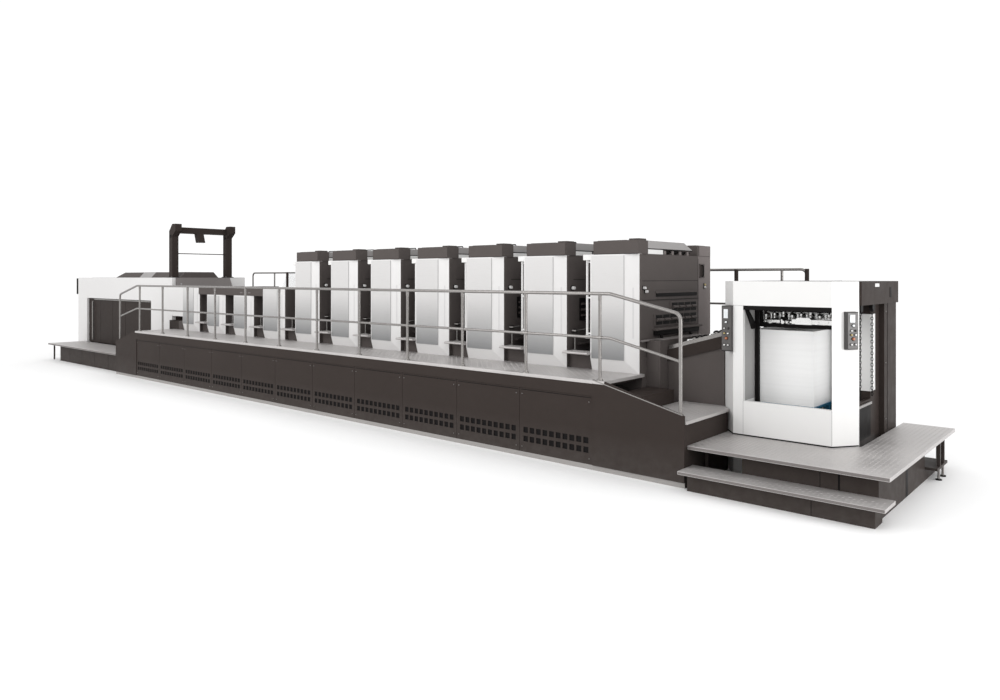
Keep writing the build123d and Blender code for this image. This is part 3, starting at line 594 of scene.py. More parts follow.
def chain_tree(finish):
    """Oval chain links that turn with each point's facing."""
    group, tree, sizes = new_growth("chain_links", {"Length": 0.048, "Width": 0.028, "Wire": 0.0045})
    ring = tree.out("GeometryNodeCurvePrimitiveCircle", {"Resolution": 16, "Radius": 0.5})
    shape = tree.out("ShaderNodeCombineXYZ", {"X": sizes["Length"], "Y": sizes["Width"], "Z": 1.0})
    oval = tree.out("GeometryNodeTransform", {"Geometry": ring, "Scale": shape})
    wire = tree.out("GeometryNodeCurvePrimitiveCircle", {"Resolution": 8, "Radius": sizes["Wire"]})
    link = tree.out("GeometryNodeCurveToMesh", {"Curve": oval, "Profile Curve": wire})
    upright = tree.out("GeometryNodeTransform", {"Geometry": link, "Rotation": (0.0, math.radians(90), 0.0)})
    stand(tree, sizes, upright, "X", finish)
    return group


# Places taken from the CAD pieces

PRINTING_UNITS = 7
LINE_UNITS = 11
UNIT_LOW, UNIT_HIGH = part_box("printing_unit_1")
COVERS_LOW, COVERS_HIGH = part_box("unit_covers")
PANELS_LOW, PANELS_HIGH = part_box("unit_cover_panels")
CAPS_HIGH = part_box("unit_caps")[1]
GRABS_LOW, GRABS_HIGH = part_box("unit_grab_bars")
TREADS_LOW, TREADS_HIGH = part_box("unit_treads")
BRIDGE_LOW, BRIDGE_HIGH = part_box("dryer_bridge")
DECKS_LOW, DECKS_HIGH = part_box("gallery_decks")
RAIL_LOW, RAIL_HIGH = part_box("gallery_handrail")
FASCIA_LOW, FASCIA_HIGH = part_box("gallery_fascia")
VENTS_LOW, VENTS_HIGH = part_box("gallery_vent_panels")
DRIVE_LOW, DRIVE_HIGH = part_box("drive_panels")
PLATES_LOW, PLATES_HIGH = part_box("platform_decks")
FEEDER_LOW, FEEDER_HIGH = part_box("feeder_front_columns")
HEADER_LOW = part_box("feeder_header")[0]
SILL_LOW, SILL_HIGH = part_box("feeder_sill")
END_HEADER_LOW, END_HEADER_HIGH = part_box("feeder_end_header")
PILE_LOW, PILE_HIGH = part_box("paper_pile")
DOOR_LOW, DOOR_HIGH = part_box("delivery_guard_door")
DELIVERY_LOW, DELIVERY_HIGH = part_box("delivery_body")
HOOD_LOW, HOOD_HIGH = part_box("delivery_hood")
PITCH = UNIT_HIGH.x - UNIT_LOW.x
COVER_WIDTH = COVERS_HIGH.x - COVERS_LOW.x - (LINE_UNITS - 1) * PITCH
PANEL_WIDTH = PANELS_HIGH.x - PANELS_LOW.x - (LINE_UNITS - 1) * PITCH
DECK_TOP = COVERS_LOW.z
TOWER_TOP = COVERS_HIGH.z
UNIT_FRONT = COVERS_LOW.y
TOWER_FRONT = COVERS_HIGH.y
UNIT_BACK = UNIT_HIGH.y
DRIVE_DECK = DECKS_HIGH.z
PLATFORM_TOP = PLATES_HIGH.z

# Sizes of the CAD pieces that their boxes do not give

SIDE_INSET = 0.014  # from a cover's edge to its tower's wall
BEVEL_DEPTH = 0.045  # of a cover's slanted edge
BEVEL_SHARE = 0.91  # of the strip beside the panel
CORNER_SIDE = 0.276  # feeder's sloped corners, along the side
CORNER_FRONT_LEFT = 0.223
CORNER_FRONT_RIGHT = 0.197
LEFT_COLUMN = 0.345  # width of the feeder's left column
PANEL_GAP = 0.006  # between gallery or drive panels
GALLERY_BAYS = 11
GALLERY_POSTS = 12
DRIVE_BAYS = 14
HOOD_LEAN = 0.130  # of the delivery hood's sides
GANTRY_SECTION = 0.160
TALL_DOOR = 0.8  # doors on the backs of the printing units are higher
PLATFORM_EDGE = 0.236  # from the floor step's front to the platform's

# Places and sizes of fittings that no CAD piece gives

HANDLE_NEAR = 0.122  # grab handles, out from the cover's left edge
HANDLE_FAR = 0.154
FACE_PARTS = 545  # rows of a control box are given in these parts of its height
BUTTON_PARTS = 1600  # and button sizes in these parts of a metre
CHAINS = (0.175, -0.30)  # y of the hoist chains at the loading end
CHAIN_PLANE = END_HEADER_HIGH.x - 0.060


def cover_right(index):
    """Right edge of a unit's front cover, counted from the feeder."""
    return COVERS_HIGH.x - index * PITCH


def cover_left(index):
    return cover_right(index) - COVER_WIDTH


def tower_walls(index):
    """Left and right wall of a unit's tower."""
    return cover_left(index) + SIDE_INSET, cover_right(index) - SIDE_INSET


def unit_top(index):
    """Top of a unit's front cover."""
    if index < PRINTING_UNITS:
        return TOWER_TOP
    return BRIDGE_HIGH.z if index in (PRINTING_UNITS, LINE_UNITS - 1) else BRIDGE_LOW.z


def fit(name, build, bolts=None):
    """Run of a step with one piece: build fills it and may return places for bolts of a name, radius and height."""
    works = Piece(name)
    spots = build(works)
    works.close()
    if bolts:
        grown(bolts[0], spots, bolt_tree("rail"), {"Radius": bolts[1], "Height": bolts[2]})
    return {"FINISHED"}


# Steps that dress the press

class PRESS_OT_finishes(Operator):
    """Give every CAD piece its finish"""
    bl_idname = "press.finishes"
    bl_label = "Finishes"

    def execute(self, context):
        make_finishes(context.scene.press_paints)
        for finish, names in CAD_FINISH.items():
            for name in names.split():
                mesh = NODES[name].data
                mesh.materials.clear()
                mesh.materials.append(FINISH[finish])
        return {"FINISHED"}


class PRESS_OT_cover_trim(Operator):
    """Edge lines, grips, handles and lids of the unit covers and caps"""
    bl_idname = "press.cover_trim"
    bl_label = "Cover trim"

    def execute(self, context):
        trim, handles, lids = Piece("unit_cover_trim"), Piece("unit_grab_handles"), Piece("unit_cap_lids")
        for index in range(LINE_UNITS):
            self.edges(trim, cover_right(index), PANELS_HIGH.x - index * PITCH, unit_top(index))
        for index in range(PRINTING_UNITS):
            left = cover_left(index)
            arm = (left - HANDLE_FAR, left)
            trim.box(arm, (TOWER_FRONT - 0.06, TOWER_FRONT + 0.05), (TOWER_TOP - 0.075, TOWER_TOP + 0.002),
                     "white", 0.006)
            trim.box(arm, (TOWER_FRONT - 0.02, TOWER_FRONT + 0.045), (1.500, 1.545), "white", 0.006)
            self.handle(handles, left)
            self.lid(lids, left, cover_right(index))
        trim.close()
        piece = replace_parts(handles.close(), "unit_grab_bars")
        lids.close()
        return {"FINISHED"}

    def edges(self, trim, cover, panel, top):
        """Grey seam lines round a panel that paint the shade of the gap, a grey strip on the slanted edge that paints
        the shade of a grip groove, and dark side of one cover.
        """
        low = PANELS_LOW.z
        seam = (PANELS_LOW.y - 0.001, PANELS_LOW.y + 0.006)
        # Grey lines along the panel's right edge and foot: painted shade of the gap round the panel.
        trim.box(run(panel, 0.005), seam, (low, top - 0.02), "seam")
        trim.box((panel - PANEL_WIDTH, panel), seam, (low - 0.004, low), "seam")
        trim.box((cover - 0.002, cover + 0.003), (UNIT_FRONT + 0.046, TOWER_FRONT),
                 (DECK_TOP + 0.004, top - 0.002), "graphite")
        width = (COVER_WIDTH - PANEL_WIDTH) * BEVEL_SHARE
        share, half, grip_top, grip_length = 0.60, 0.010, 2.20, 0.66
        x, y, slope = cover - width * (1 - share), UNIT_FRONT + BEVEL_DEPTH * share, BEVEL_DEPTH / width
        outline = [(x + side, y + side * slope + lift)
                   for side, lift in ((-half, -0.0015), (half, -0.0015), (half, 0.008), (-half, 0.008))]
        high = min(top - 0.12, grip_top)
        # Grey strip on the slanted edge: painted shade of a grip groove.
        trim.prism(outline, "z", high - grip_length, high, "seam_light")

    def handle(self, handles, left):
        """Upright white handle that stands clear of a cover on three feet."""
        low, high = GRABS_LOW.z, GRABS_HIGH.z
        y = (GRABS_LOW.y + GRABS_HIGH.y) / 2
        handles.box((left - HANDLE_FAR, left - HANDLE_NEAR), about(y, 0.017), (low, high), "white", 0.010)
        for z in (low + 0.05, (low + high) / 2, high - 0.05):
            handles.rod((left - HANDLE_NEAR - 0.01, y, z), (left + SIDE_INSET, y, z), 0.013, "white")

    def lid(self, lids, left, right):
        """Two lids on a cap, and a black strip under it that paints the shade of the joint."""
        y = (UNIT_FRONT + 0.06, CAPS_HIGH.y - 0.02)
        lids.box((left + 0.56, right - 0.012), y, run(CAPS_HIGH.z, 0.024), "graphite", 0.006)
        lids.box((left + 0.08, left + 0.52), y, run(CAPS_HIGH.z, 0.008), "graphite", 0.003)
        # Black strip: painted shade of the gap between the cap and the tower.
        lids.box((left + 0.052, right - 0.002), (UNIT_FRONT - 0.001, UNIT_FRONT + 0.012),
                 (TOWER_TOP - 0.003, TOWER_TOP + 0.004), "black")


class PRESS_OT_tower_sides(Operator):
    """Knobs, levers, slots and shelves on the feeder-side walls of the towers"""
    bl_idname = "press.tower_sides"
    bl_label = "Tower sides"

    def execute(self, context):
        works = Piece("tower_gap_fittings")
        for index in range(1, LINE_UNITS):
            wall = tower_walls(index)[1]
            if index < PRINTING_UNITS:
                self.tall_wall(works, wall)
            self.step_fittings(works, wall + 0.05, wall)
        works.close()
        return fit("first_unit_end_fittings", self.first_wall)

    def tall_wall(self, works, wall):
        """Fittings of a printing unit's wall that faces the gap to the next tower."""
        knob, lever = (wall, -0.735, 2.184), (wall, -0.72, 1.585)
        works.pin(knob, "x", 0.05, 0.026, "white", tip=0.022)
        works.pin(knob, "x", 0.012, 0.036, "black")
        # The black plate behind the three graphite bars paints the shade of the opening behind them.
        works.plates(wall, ((0.006, (-0.56, -0.16), (1.72, 2.04), "black", 0.002),
                            (0.004, (-0.70, 0.95), (2.30, 2.306), "black", 0),
                            (0.004, (0.10, 0.106), (1.45, 2.58), "black", 0)))
        works.plates(wall + 0.006, [(0.010, (-0.53, -0.19), run(level, 0.03), "graphite", 0.004)
                                    for level in (1.78, 1.86, 1.94)])
        works.pull((wall, 0.62, 2.34), (wall, 0.62, 2.52), (0.045, 0, 0))
        works.tube([(wall + 0.02, -0.76, 1.59), (wall + 0.07, -0.74, 1.585), (wall + 0.07, -0.30, 1.60)],
                   0.014, "rail", 0.03)
        works.pin(lever, "x", 0.07, 0.024, "black")

    def step_fittings(self, works, post, wall):
        """Short post and rail over the step between two towers."""
        y, z = -0.735, TREADS_HIGH.z
        works.pin((post, y, z + 0.02), "z", 0.15, 0.013, "rail")
        works.pin((post, y, z), "z", 0.02, 0.024, "rail")
        works.box((wall, post), (-0.60, 0.60), (z + 0.06, z + 0.09), "graphite", 0.006)

    def first_wall(self, works):
        """Open end of the first unit, seen from the feeder."""
        wall = tower_walls(0)[1]
        works.plates(wall, (
            # The black plate of the long slot paints the shade inside it.
            (0.012, (-0.43, 0.74), (2.075, 2.120), "black", 0.004),  # long slot
            (0.014, (-0.45, 0.76), (2.122, 2.150), "graphite", 0),  # lip over it
            (0.008, (-0.80, 0.80), (2.030, 2.036), "black", 0),  # lower joint
            (0.075, (-0.52, 0.80), (1.625, 1.655), "graphite", 0.012),  # shelf
            (0.030, (-0.50, 0.78), (1.560, 1.622), "black", 0.006),  # dark strip under it
            (0.055, (-0.86, 0.60), (1.500, 1.522), "slope", 0.008),  # guide bar
            (0.014, (0.955, 1.025), (2.165, 2.250), "case", 0.005),  # switch case
            (0.002, (0.800, UNIT_BACK - 0.003), (1.410, TOWER_TOP - 0.003), "gear", 0),  # gear side
            (0.003, (0.794, 0.800), (1.33, 2.60), "black", 0),  # its edge
            (0.003, (-0.80, 0.79), (2.285, 2.290), "black", 0)))  # upper joint
        for y, z in ((-0.766, 2.196), (-0.715, 2.150)):
            works.pin((wall, y, z), "x", 0.012, 0.026, "black")
            works.pin((wall + 0.012, y, z), "x", 0.033, 0.019, "cover", tip=0.016)
        for z, finish in ((2.226, "amber"), (2.188, "white")):
            works.pin((wall + 0.014, 0.99, z), "x", 0.014, 0.016, finish, 16, 0.012)
        for y, z in ((0.76, 1.415), (0.95, 1.445)):
            works.pin((wall, y, z), "x", 0.05, 0.018, "rail", 16, 0.014)
        works.prism([(0.02, 1.405), (0.70, 1.470), (0.70, 1.486), (0.02, 1.421)], "x", wall, wall + 0.13, "slope")
        works.pin((wall, 0.16, 1.45), "x", 0.05, 0.030, "black")
        works.pin((wall + 0.05, 0.16, 1.45), "x", 0.07, 0.046, "white", 20, 0.042)
        self.slots(works, wall, (-0.02, 0.72), (1.865, 1.985), 4)
        self.slots(works, wall, (-0.46, 0.72), (1.700, 1.830), 6)
        self.recess(works, wall, (0.825, 0.985), (2.325, 2.530))

    def slots(self, works, wall, span, z, count):
        """Row of slots with rollers in a raised guard strip; black plates paint the shade inside the slots."""
        works.plates(wall, [(0.010, inside(*span, -0.03), inside(*z, -0.02), "graphite", 0.004)])
        step = (span[1] - span[0]) / count
        for k in range(count):
            y = span[0] + k * step
            # Black plate: painted shade inside the slot.
            works.plates(wall + 0.010, [(0.003, (y + 0.012, y + step - 0.012), z, "black", 0)])
            works.pin((wall + 0.020, y + 0.02, sum(z) / 2), "y", step - 0.04, 0.022, "graphite", 10)

    def recess(self, works, wall, y, z):
        """Recessed pull handle: dark dish, raised rim and grip bar."""
        rim = 0.018
        works.plates(wall, [(0.003, y, z, "charcoal", 0)] + [
            (0.010, *spans, "graphite", 0.003)
            for spans in ((y, run(z[1], -rim)), (y, run(z[0], rim)), (run(y[0], rim), z), (run(y[1], -rim), z))])
        middle, out = sum(y) / 2, wall + 0.030
        works.tube([(wall, middle, z[0] + rim), (out, middle, z[0] + 0.03),
                    (out, middle, z[1] - 0.03), (wall, middle, z[1] - rim)], 0.010, "black", 0.015)


class PRESS_OT_roof_fittings(Operator):
    """Side plates, brackets, shafts and handles on the roofs of the printing units"""
    bl_idname = "press.roof_fittings"
    bl_label = "Roof fittings"

    def execute(self, context):
        return fit("roof_fittings", self.build)

    def build(self, works):
        for index in range(PRINTING_UNITS):
            self.roof(works, *tower_walls(index))

    def roof(self, works, left, right):
        """Fittings of one roof between the two walls of its tower."""
        low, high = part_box("unit_roof_hoods")
        under, lid = high.z - 0.105, TOWER_TOP + 0.155
        front_box = low.y + 0.420
        for wall, out in ((left, -0.004), (right, 0.004)):
            works.box(run(wall, out), inside(low.y, front_box, 0.004), (TOWER_TOP + 0.003, under - 0.010),
                      "white", 0.001)
            # Black strip under the hood's edge: painted shadow of the hood.
            works.box(run(wall, out), (low.y + 0.002, high.y), (under - 0.008, under + 0.004), "black")
        shaft = (right - 0.050, front_box, TOWER_TOP + 0.040)
        works.pin(shaft, "y", high.y - 0.01 - front_box, 0.018, "black")
        for share in (0.10, 0.36, 0.62, 0.88):
            y = front_box + share * (high.y - front_box)
            works.box((right - 0.085, right - 0.012), about(y, 0.030), run(TOWER_TOP, 0.058), "gear", 0.006)
        works.box((right - 0.001, right + 0.004), (0.830, UNIT_BACK - 0.004), (TOWER_TOP + 0.006, TOWER_TOP + 0.150),
                  "gear", 0.001)
        middle, y = (left + right) / 2, low.y + 0.35
        works.pull((middle - 0.12, y, high.z), (middle + 0.12, y, high.z), (0, 0, 0.03))
        for side in (-0.2, 0.2):
            works.pin((middle + side - 0.05, high.y + 0.008, under + 0.02), "x", 0.10, 0.012, "rail")
        works.box(inside(left, right, 0.06), (0.84, UNIT_BACK - 0.06), run(lid, 0.008), "gear", 0.003)


class PRESS_OT_gallery_fittings(Operator):
    """Bolts, nosings and edge trim of the operator gallery, with black plates that paint the shade behind the vents and
    under the fascia
    """
    bl_idname = "press.gallery_fittings"
    bl_label = "Gallery fittings"

    def execute(self, context):
        return fit("gallery_trim", self.build, ("gallery_bolts", 0.008, 0.006))

    def build(self, trim):
        front, panel = FASCIA_LOW.y, VENTS_LOW.y
        top = VENTS_HIGH.z
        bay = (VENTS_HIGH.x - VENTS_LOW.x + PANEL_GAP) / GALLERY_BAYS
        trim.box((FASCIA_LOW.x, FASCIA_HIGH.x), about(front, 0.004), (FASCIA_HIGH.z - 0.002, FASCIA_HIGH.z + 0.010),
                 "tread", 0.002)
        for index in range(GALLERY_BAYS):
            left = VENTS_LOW.x + index * bay
            right = left + bay - PANEL_GAP
            # Black line under the fascia: painted shadow of its edge on the panel.
            trim.box(inside(left, right, 0.02), run(panel, -0.003), (top - 0.03, top - 0.024), "black")
            # Black plate behind the vent slots: painted shade of the inside.
            trim.box(about((left + right) / 2, 0.53), (panel + 0.011, panel + 0.014), (0.18, 0.40), "black")
        nosing = [(FASCIA_HIGH.x, DECK_TOP + 0.002), (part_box("gallery_end_panels")[1].x - 0.02, 0.802)]
        trim.prism(nosing + [(x, z + 0.012) for x, z in reversed(nosing)], "y", front - 0.003, front + 0.026, "rail")
        joints = [VENTS_LOW.x + index * bay - PANEL_GAP / 2 for index in range(GALLERY_BAYS + 1)]
        return [((x + side, panel - 0.004, z), (0.0, -1.0, 0.0))
                for x in joints for side in (-0.05, 0.05) for z in (0.13, top - 0.08)]


class PRESS_OT_rail_fittings(Operator):
    """Flanges, sleeves and bolts of the handrails"""
    bl_idname = "press.rail_fittings"
    bl_label = "Rail fittings"

    def execute(self, context):
        return fit("handrail_fittings", self.build, ("handrail_bolts", 0.007, 0.006))

    def build(self, works):
        y = (RAIL_LOW.y + RAIL_HIGH.y) / 2
        first, knee = cover_right(0) - 0.054, 1.607
        spots = []
        for index in range(GALLERY_POSTS):
            x = first - index * PITCH
            spots += self.flange(works, x, y, DECK_TOP)
            works.pin((x, y, RAIL_HIGH.z - 0.10), "z", 0.065, 0.0235, "rail", 16)
            works.pin((x - 0.035, y, knee), "x", 0.07, 0.021, "rail", 16)
        low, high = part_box("drive_handrail")
        y, radius = (low.y + high.y) / 2, 0.021
        for index in range(DRIVE_BAYS + 1):
            x = low.x + radius + index * (high.x - low.x - 2 * radius) / DRIVE_BAYS
            spots += self.flange(works, x, y, DRIVE_DECK)
            if x > UNIT_HIGH.x:
                works.rod((x, y, DRIVE_DECK + 0.035), (x, y, high.z - 0.012), 0.031, "charcoal", 18)
        return spots

    def flange(self, works, x, y, z):
        """Foot of a post; gives the places of its four bolts."""
        works.pin((x, y, z), "z", 0.010, 0.042, "rail", 20, 0.040)
        works.pin((x, y, z + 0.010), "z", 0.025, 0.027, "rail", 16, 0.024)
        angles = [math.radians(45 + 90 * k) for k in range(4)]
        return [((x + 0.032 * math.cos(angle), y + 0.032 * math.sin(angle), z + 0.010), (0.0, 0.0, 1.0))
                for angle in angles]


class PRESS_OT_tread_lugs(Operator):
    """Raised bars on the walked faces of the decks and steps"""
    bl_idname = "press.tread_lugs"
    bl_label = "Tread lugs"

    def execute(self, context):
        cell = context.scene.press_details.tread_cell
        tree = lug_tree()
        stair_low, stair_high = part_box("stair_treads")
        edge, right = PLATES_LOW.y + PLATFORM_EDGE, PLATES_HIGH.x - 0.04
        step_left, step_top = 9.13, 0.230
        front = (edge + 0.03, FEEDER_LOW.y - 0.03)
        steps = [((cover_right(index + 1) + 0.03, cover_left(index) - 0.03),
                  (TREADS_LOW.y + 0.03, TREADS_HIGH.y - 0.02), TREADS_HIGH.z) for index in range(LINE_UNITS - 1)]
        fields = {
            "gallery_tread_lugs": [((FASCIA_LOW.x + 0.1, FASCIA_HIGH.x + 0.13),
                                    (RAIL_HIGH.y + 0.03, UNIT_FRONT - 0.03), DECK_TOP)],
            "drive_tread_lugs": [(inside(DECKS_LOW.x, DECKS_HIGH.x, 0.05),
                                  (UNIT_BACK + 0.04, DECKS_HIGH.y - 0.10), DRIVE_DECK)],
            "platform_tread_lugs": [
                ((step_left, right), front, PLATFORM_TOP),
                ((FEEDER_HIGH.x + 0.06, right), (FEEDER_LOW.y - 0.03, PLATES_HIGH.y - 0.03), PLATFORM_TOP),
                ((step_left, PLATES_HIGH.x - 0.03), (PLATES_LOW.y + 0.02, edge - 0.01), step_top),
                (inside(PLATES_LOW.x, DECKS_LOW.x, 0.03), front, PLATFORM_TOP),
                ((stair_high.x - 0.66, stair_high.x - 0.03), inside(stair_low.y, stair_high.y, 0.10), stair_high.z)],
            "unit_tread_lugs": steps,
        }
        for name, areas in fields.items():
            grown(name, self.rows(areas, cell), tree, {})
        return {"FINISHED"}

    def rows(self, areas, cell):
        """Points of every area, each with the way that its bar points."""
        spots = []
        ways = ((DIAGONAL, DIAGONAL, 0.0), (DIAGONAL, -DIAGONAL, 0.0))
        for (x0, x1), (y0, y1), z in areas:
            columns, lines = int((x1 - x0) / cell), int((y1 - y0) / cell)
            for i in range(columns):
                for j in range(lines):
                    place = (x0 + (i + 0.5) * (x1 - x0) / columns, y0 + (j + 0.5) * (y1 - y0) / lines, z)
                    spots.append((place, ways[(i + j) % 2]))
        return spots


class PRESS_OT_feeder_trim(Operator):
    """Seams, a black strip painting the shade of the base gap, brackets, a grey strip painting the shade on the left
    column's inner face, and header plates of the feeder
    """
    bl_idname = "press.feeder_trim"
    bl_label = "Feeder trim"

    def execute(self, context):
        return fit("feeder_trim", self.build)

    def build(self, trim):
        front = FEEDER_LOW.y
        inner, outer = FEEDER_LOW.x + LEFT_COLUMN, FEEDER_HIGH.x - CORNER_FRONT_RIGHT
        left_toe, chamfer_end = FEEDER_LOW.x + CORNER_FRONT_LEFT, front + CORNER_SIDE
        out = 0.003
        strip = (front - out, front + 0.03)
        base, joint = run(PLATFORM_TOP, 0.014), about(HEADER_LOW.z, 0.0015)
        # Black strip at the foot of the portal: painted shade of the base gap.
        trim.box((left_toe, outer), strip, base, "black")
        trim.box((left_toe, inner), strip, joint, "seam")
        for toe, heel in ((left_toe, FEEDER_LOW.x), (outer, FEEDER_HIGH.x)):
            side = -out if heel < toe else out
            outline = [(toe, strip[0]), (heel + side, chamfer_end), (heel - side * 8, chamfer_end), (toe, strip[1])]
            # Black strip along each sloped corner: painted shade of the base gap.
            trim.prism(outline, "z", *base, "black")
            trim.prism(outline, "z", *joint, "seam")
        for x in (inner, outer):
            trim.box(about(x, 0.002), (front - 0.0015, front + 0.004), (PLATFORM_TOP + 0.02, SILL_HIGH.z), "seam")
        trim.box((inner, outer), (front + 0.004, front + 0.25), (HEADER_LOW.z - 0.050, HEADER_LOW.z + 0.002),
                 "black", 0.004)
        bracket = [(-0.750, 1.998), (-0.655, 1.998), (-0.620, 1.940), (-0.390, 1.740), (-0.390, 1.712), (-0.520, 1.712)]
        trim.prism(bracket, "x", inner + 0.002, inner + 0.020, "black")
        # Grey strip on the left column's inner face: painted shade.
        trim.box(run(inner, 0.002), (front + 0.056, FEEDER_HIGH.y), (SILL_HIGH.z, HEADER_LOW.z), "jamb_shade")
        trim.plates(END_HEADER_HIGH.x, ((0.004, (0.067, 0.235), (2.224, 2.262), "white", 0.001),
                                        (0.004, (0.715, 0.785), (2.090, 2.215), "black", 0.001)))


class PRESS_OT_controls(Operator):
    """Displays and buttons on the two control boxes of the feeder"""
    bl_idname = "press.controls"
    bl_label = "Controls"

    def execute(self, context):
        return fit("feeder_controls", self.build)

    def build(self, works):
        low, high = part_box("control_boxes")
        left_face = Vector((low.x + 0.066, low.y, 0))
        self.face(works, left_face, AXES["x"], -AXES["y"], high.z, 0.545, 0.112)
        toe = Vector((FEEDER_HIGH.x - CORNER_FRONT_RIGHT, FEEDER_LOW.y, 0))
        heel = Vector((FEEDER_HIGH.x, FEEDER_LOW.y + CORNER_SIDE, 0))
        along = (heel - toe).normalized()
        way = Vector((along.y, -along.x, 0))
        right_face = (toe + heel) / 2 + along * 0.058 + way * 0.050
        self.face(works, right_face, along, way, high.z - 0.041, 0.415, 0.128)

    def face(self, works, face, along, way, top, height, width):
        """Face plate with a display above rows of buttons."""
        unit = height / FACE_PARTS
        self.plate(works, face, along, way, width, top - height + 14 * unit, top - 14 * unit, 0.003, "case_face")
        shown = face - along * width * 0.06
        self.plate(works, shown, along, way, width * 0.46, top - 150 * unit, top - 42 * unit, 0.007, "display")
        buttons = (  # drop from the top, place across the width, size, finish
            (196, -0.02, 20, "display"), (270, -0.2, 13, "white"), (270, 0.22, 13, "case"), (330, -0.2, 16, "amber"),
            (330, 0.2, 16, "white"), (388, 0.0, 26, "orange"), (468, -0.2, 16, "white"), (468, 0.2, 16, "seam_light"))
        for drop, side, size, finish in buttons:
            place = face + along * side * width + Vector((0, 0, top - drop * unit))
            radius = size / BUTTON_PARTS
            works.rod(place, place + way * 0.008, radius + 0.004, "black", 18)
            works.rod(place + way * 0.008, place + way * 0.022, radius, finish, 18, radius * 0.82)

    def plate(self, works, face, along, way, width, low, high, proud, finish):
        """Upright plate that stands proud of a face."""
        left, right, out = face - along * width / 2, face + along * width / 2, way * proud
        works.prism([(c.x, c.y) for c in (left, right, right + out, left + out)], "z", low, high, finish)


class PRESS_OT_suction_head(Operator):
    """Valve blocks, shafts and hoses of the suction head over the pile"""
    bl_idname = "press.suction_head"
    bl_label = "Suction head"

    def execute(self, context):
        return fit("suction_head_works", self.build)

    def build(self, works):
        low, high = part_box("feeder_head")
        left, right = SILL_LOW.x + 0.03, SILL_HIGH.x - 0.02
        front, base = low.y + 0.02, low.z + 0.046
        for back, up, radius in ((0.02, 0.030, 0.012), (0.10, 0.085, 0.016), (0.20, 0.130, 0.012)):
            works.pin((left, front + back, base + up), "x", right - left, radius, "bright", 12)
        works.box((left + 0.38, right - 0.10), (front - 0.014, front - 0.006), (base + 0.002, base + 0.058),
                  "bright", 0.002)
        works.box((left + 0.04, left + 0.24), (front - 0.010, front - 0.004), (base + 0.010, base + 0.044),
                  "bright", 0.002)
        valves = 9
        for index in range(valves):
            x = left + (index + 0.5) * (right - left) / valves
            self.valve(works, x, front, base, 0.045 + 0.018 * (index % 3))
        for side in (low.y + 0.25, low.y + 0.62):
            works.box((low.x - 0.02, high.x + 0.03), run(side, 0.10), run(high.z, 0.05), "black", 0.008)
            works.pin((high.x, side + 0.05, high.z + 0.02), "x", 0.10, 0.018, "bright")

    def valve(self, works, x, front, base, tall):
        """One valve: dark block, plated stem with a collar, a knob at the front and a hose."""
        middle, block = front + 0.035, base + tall
        top = block + 0.060
        works.box(about(x, 0.028), run(front, 0.075), (base, block), "black", 0.005)
        works.pin((x, middle, block), "z", 0.060, 0.016, "bright")
        works.pin((x, middle, block + 0.018), "z", 0.014, 0.024, "rail")
        works.pin((x, front, base + tall * 0.5), "y", -0.022, 0.014, "bright", tip=0.011)
        works.box((x + 0.034, x + 0.062), (front + 0.01, front + 0.05), run(base, 0.028), "bright", 0.003)
        works.pin((x + 0.046, middle + 0.06, base), "z", 0.115, 0.015, "bright")
        works.pin((x + 0.046, middle + 0.06, base + 0.115), "z", 0.015, 0.022, "white", tip=0.018)
        works.tube([(x, middle, top), (x, middle, top + 0.045), (x + 0.035, middle + 0.17, top + 0.05),
                    (x + 0.035, middle + 0.28, base + 0.09)], 0.010, "black", 0.035, 10)


class PRESS_OT_hoist_chain(Operator):
    """Hoist chains, guard sheets and plates at the loading end of the feeder"""
    bl_idname = "press.hoist_chain"
    bl_label = "Hoist chain"

    def execute(self, context):
        pitch, foot = 0.034, 0.95
        ways = ((0.0, 1.0, 0.0), (1.0, 0.0, 0.0))
        spots = [((CHAIN_PLANE, y, foot + (k + 0.5) * pitch), ways[k % 2])
                 for y in CHAINS for k in range(int((END_HEADER_LOW.z - foot) / pitch))]
        grown("hoist_chains", spots, chain_tree("black"), {"Length": 0.044, "Width": 0.020})
        return fit("loading_end_trim", self.trim)

    def trim(self, strip):
        """Sill, low plate and guard sheets beside the chains, sprockets over them and joints of the end column."""
        guard, end = (0.990, 1.900), (-0.445, 0.200)
        sill, column = END_HEADER_HIGH.x - 0.086, FEEDER_HIGH.x
        strip.plates(sill, ((0.022, end, (0.845, 0.880), "rail", 0.006), (0.004, end, (0.470, 0.840), "black", 0)))
        strip.plates(sill - 0.001, [(0.004, (0.2085, 0.395), guard, "white", 0.001)])
        strip.box((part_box("feeder_frame")[0].x + 1.370, sill - 0.003), (0.2045, 0.2085), guard, "white", 0.001)
        for y in CHAINS:
            strip.pin((CHAIN_PLANE - 0.02, y, 1.985), "x", 0.04, 0.05, "black", 20)
        height = (PLATFORM_TOP + 0.01, END_HEADER_LOW.z - 0.004)
        strip.plates(column, [(0.002, run(y, 0.004), height, "black", 0) for y in (0.700, 0.712)])
        for z in (0.62, 1.30, 1.92):
            strip.pin((column, 0.62, z), "x", 0.006, 0.009, "rail", 6)


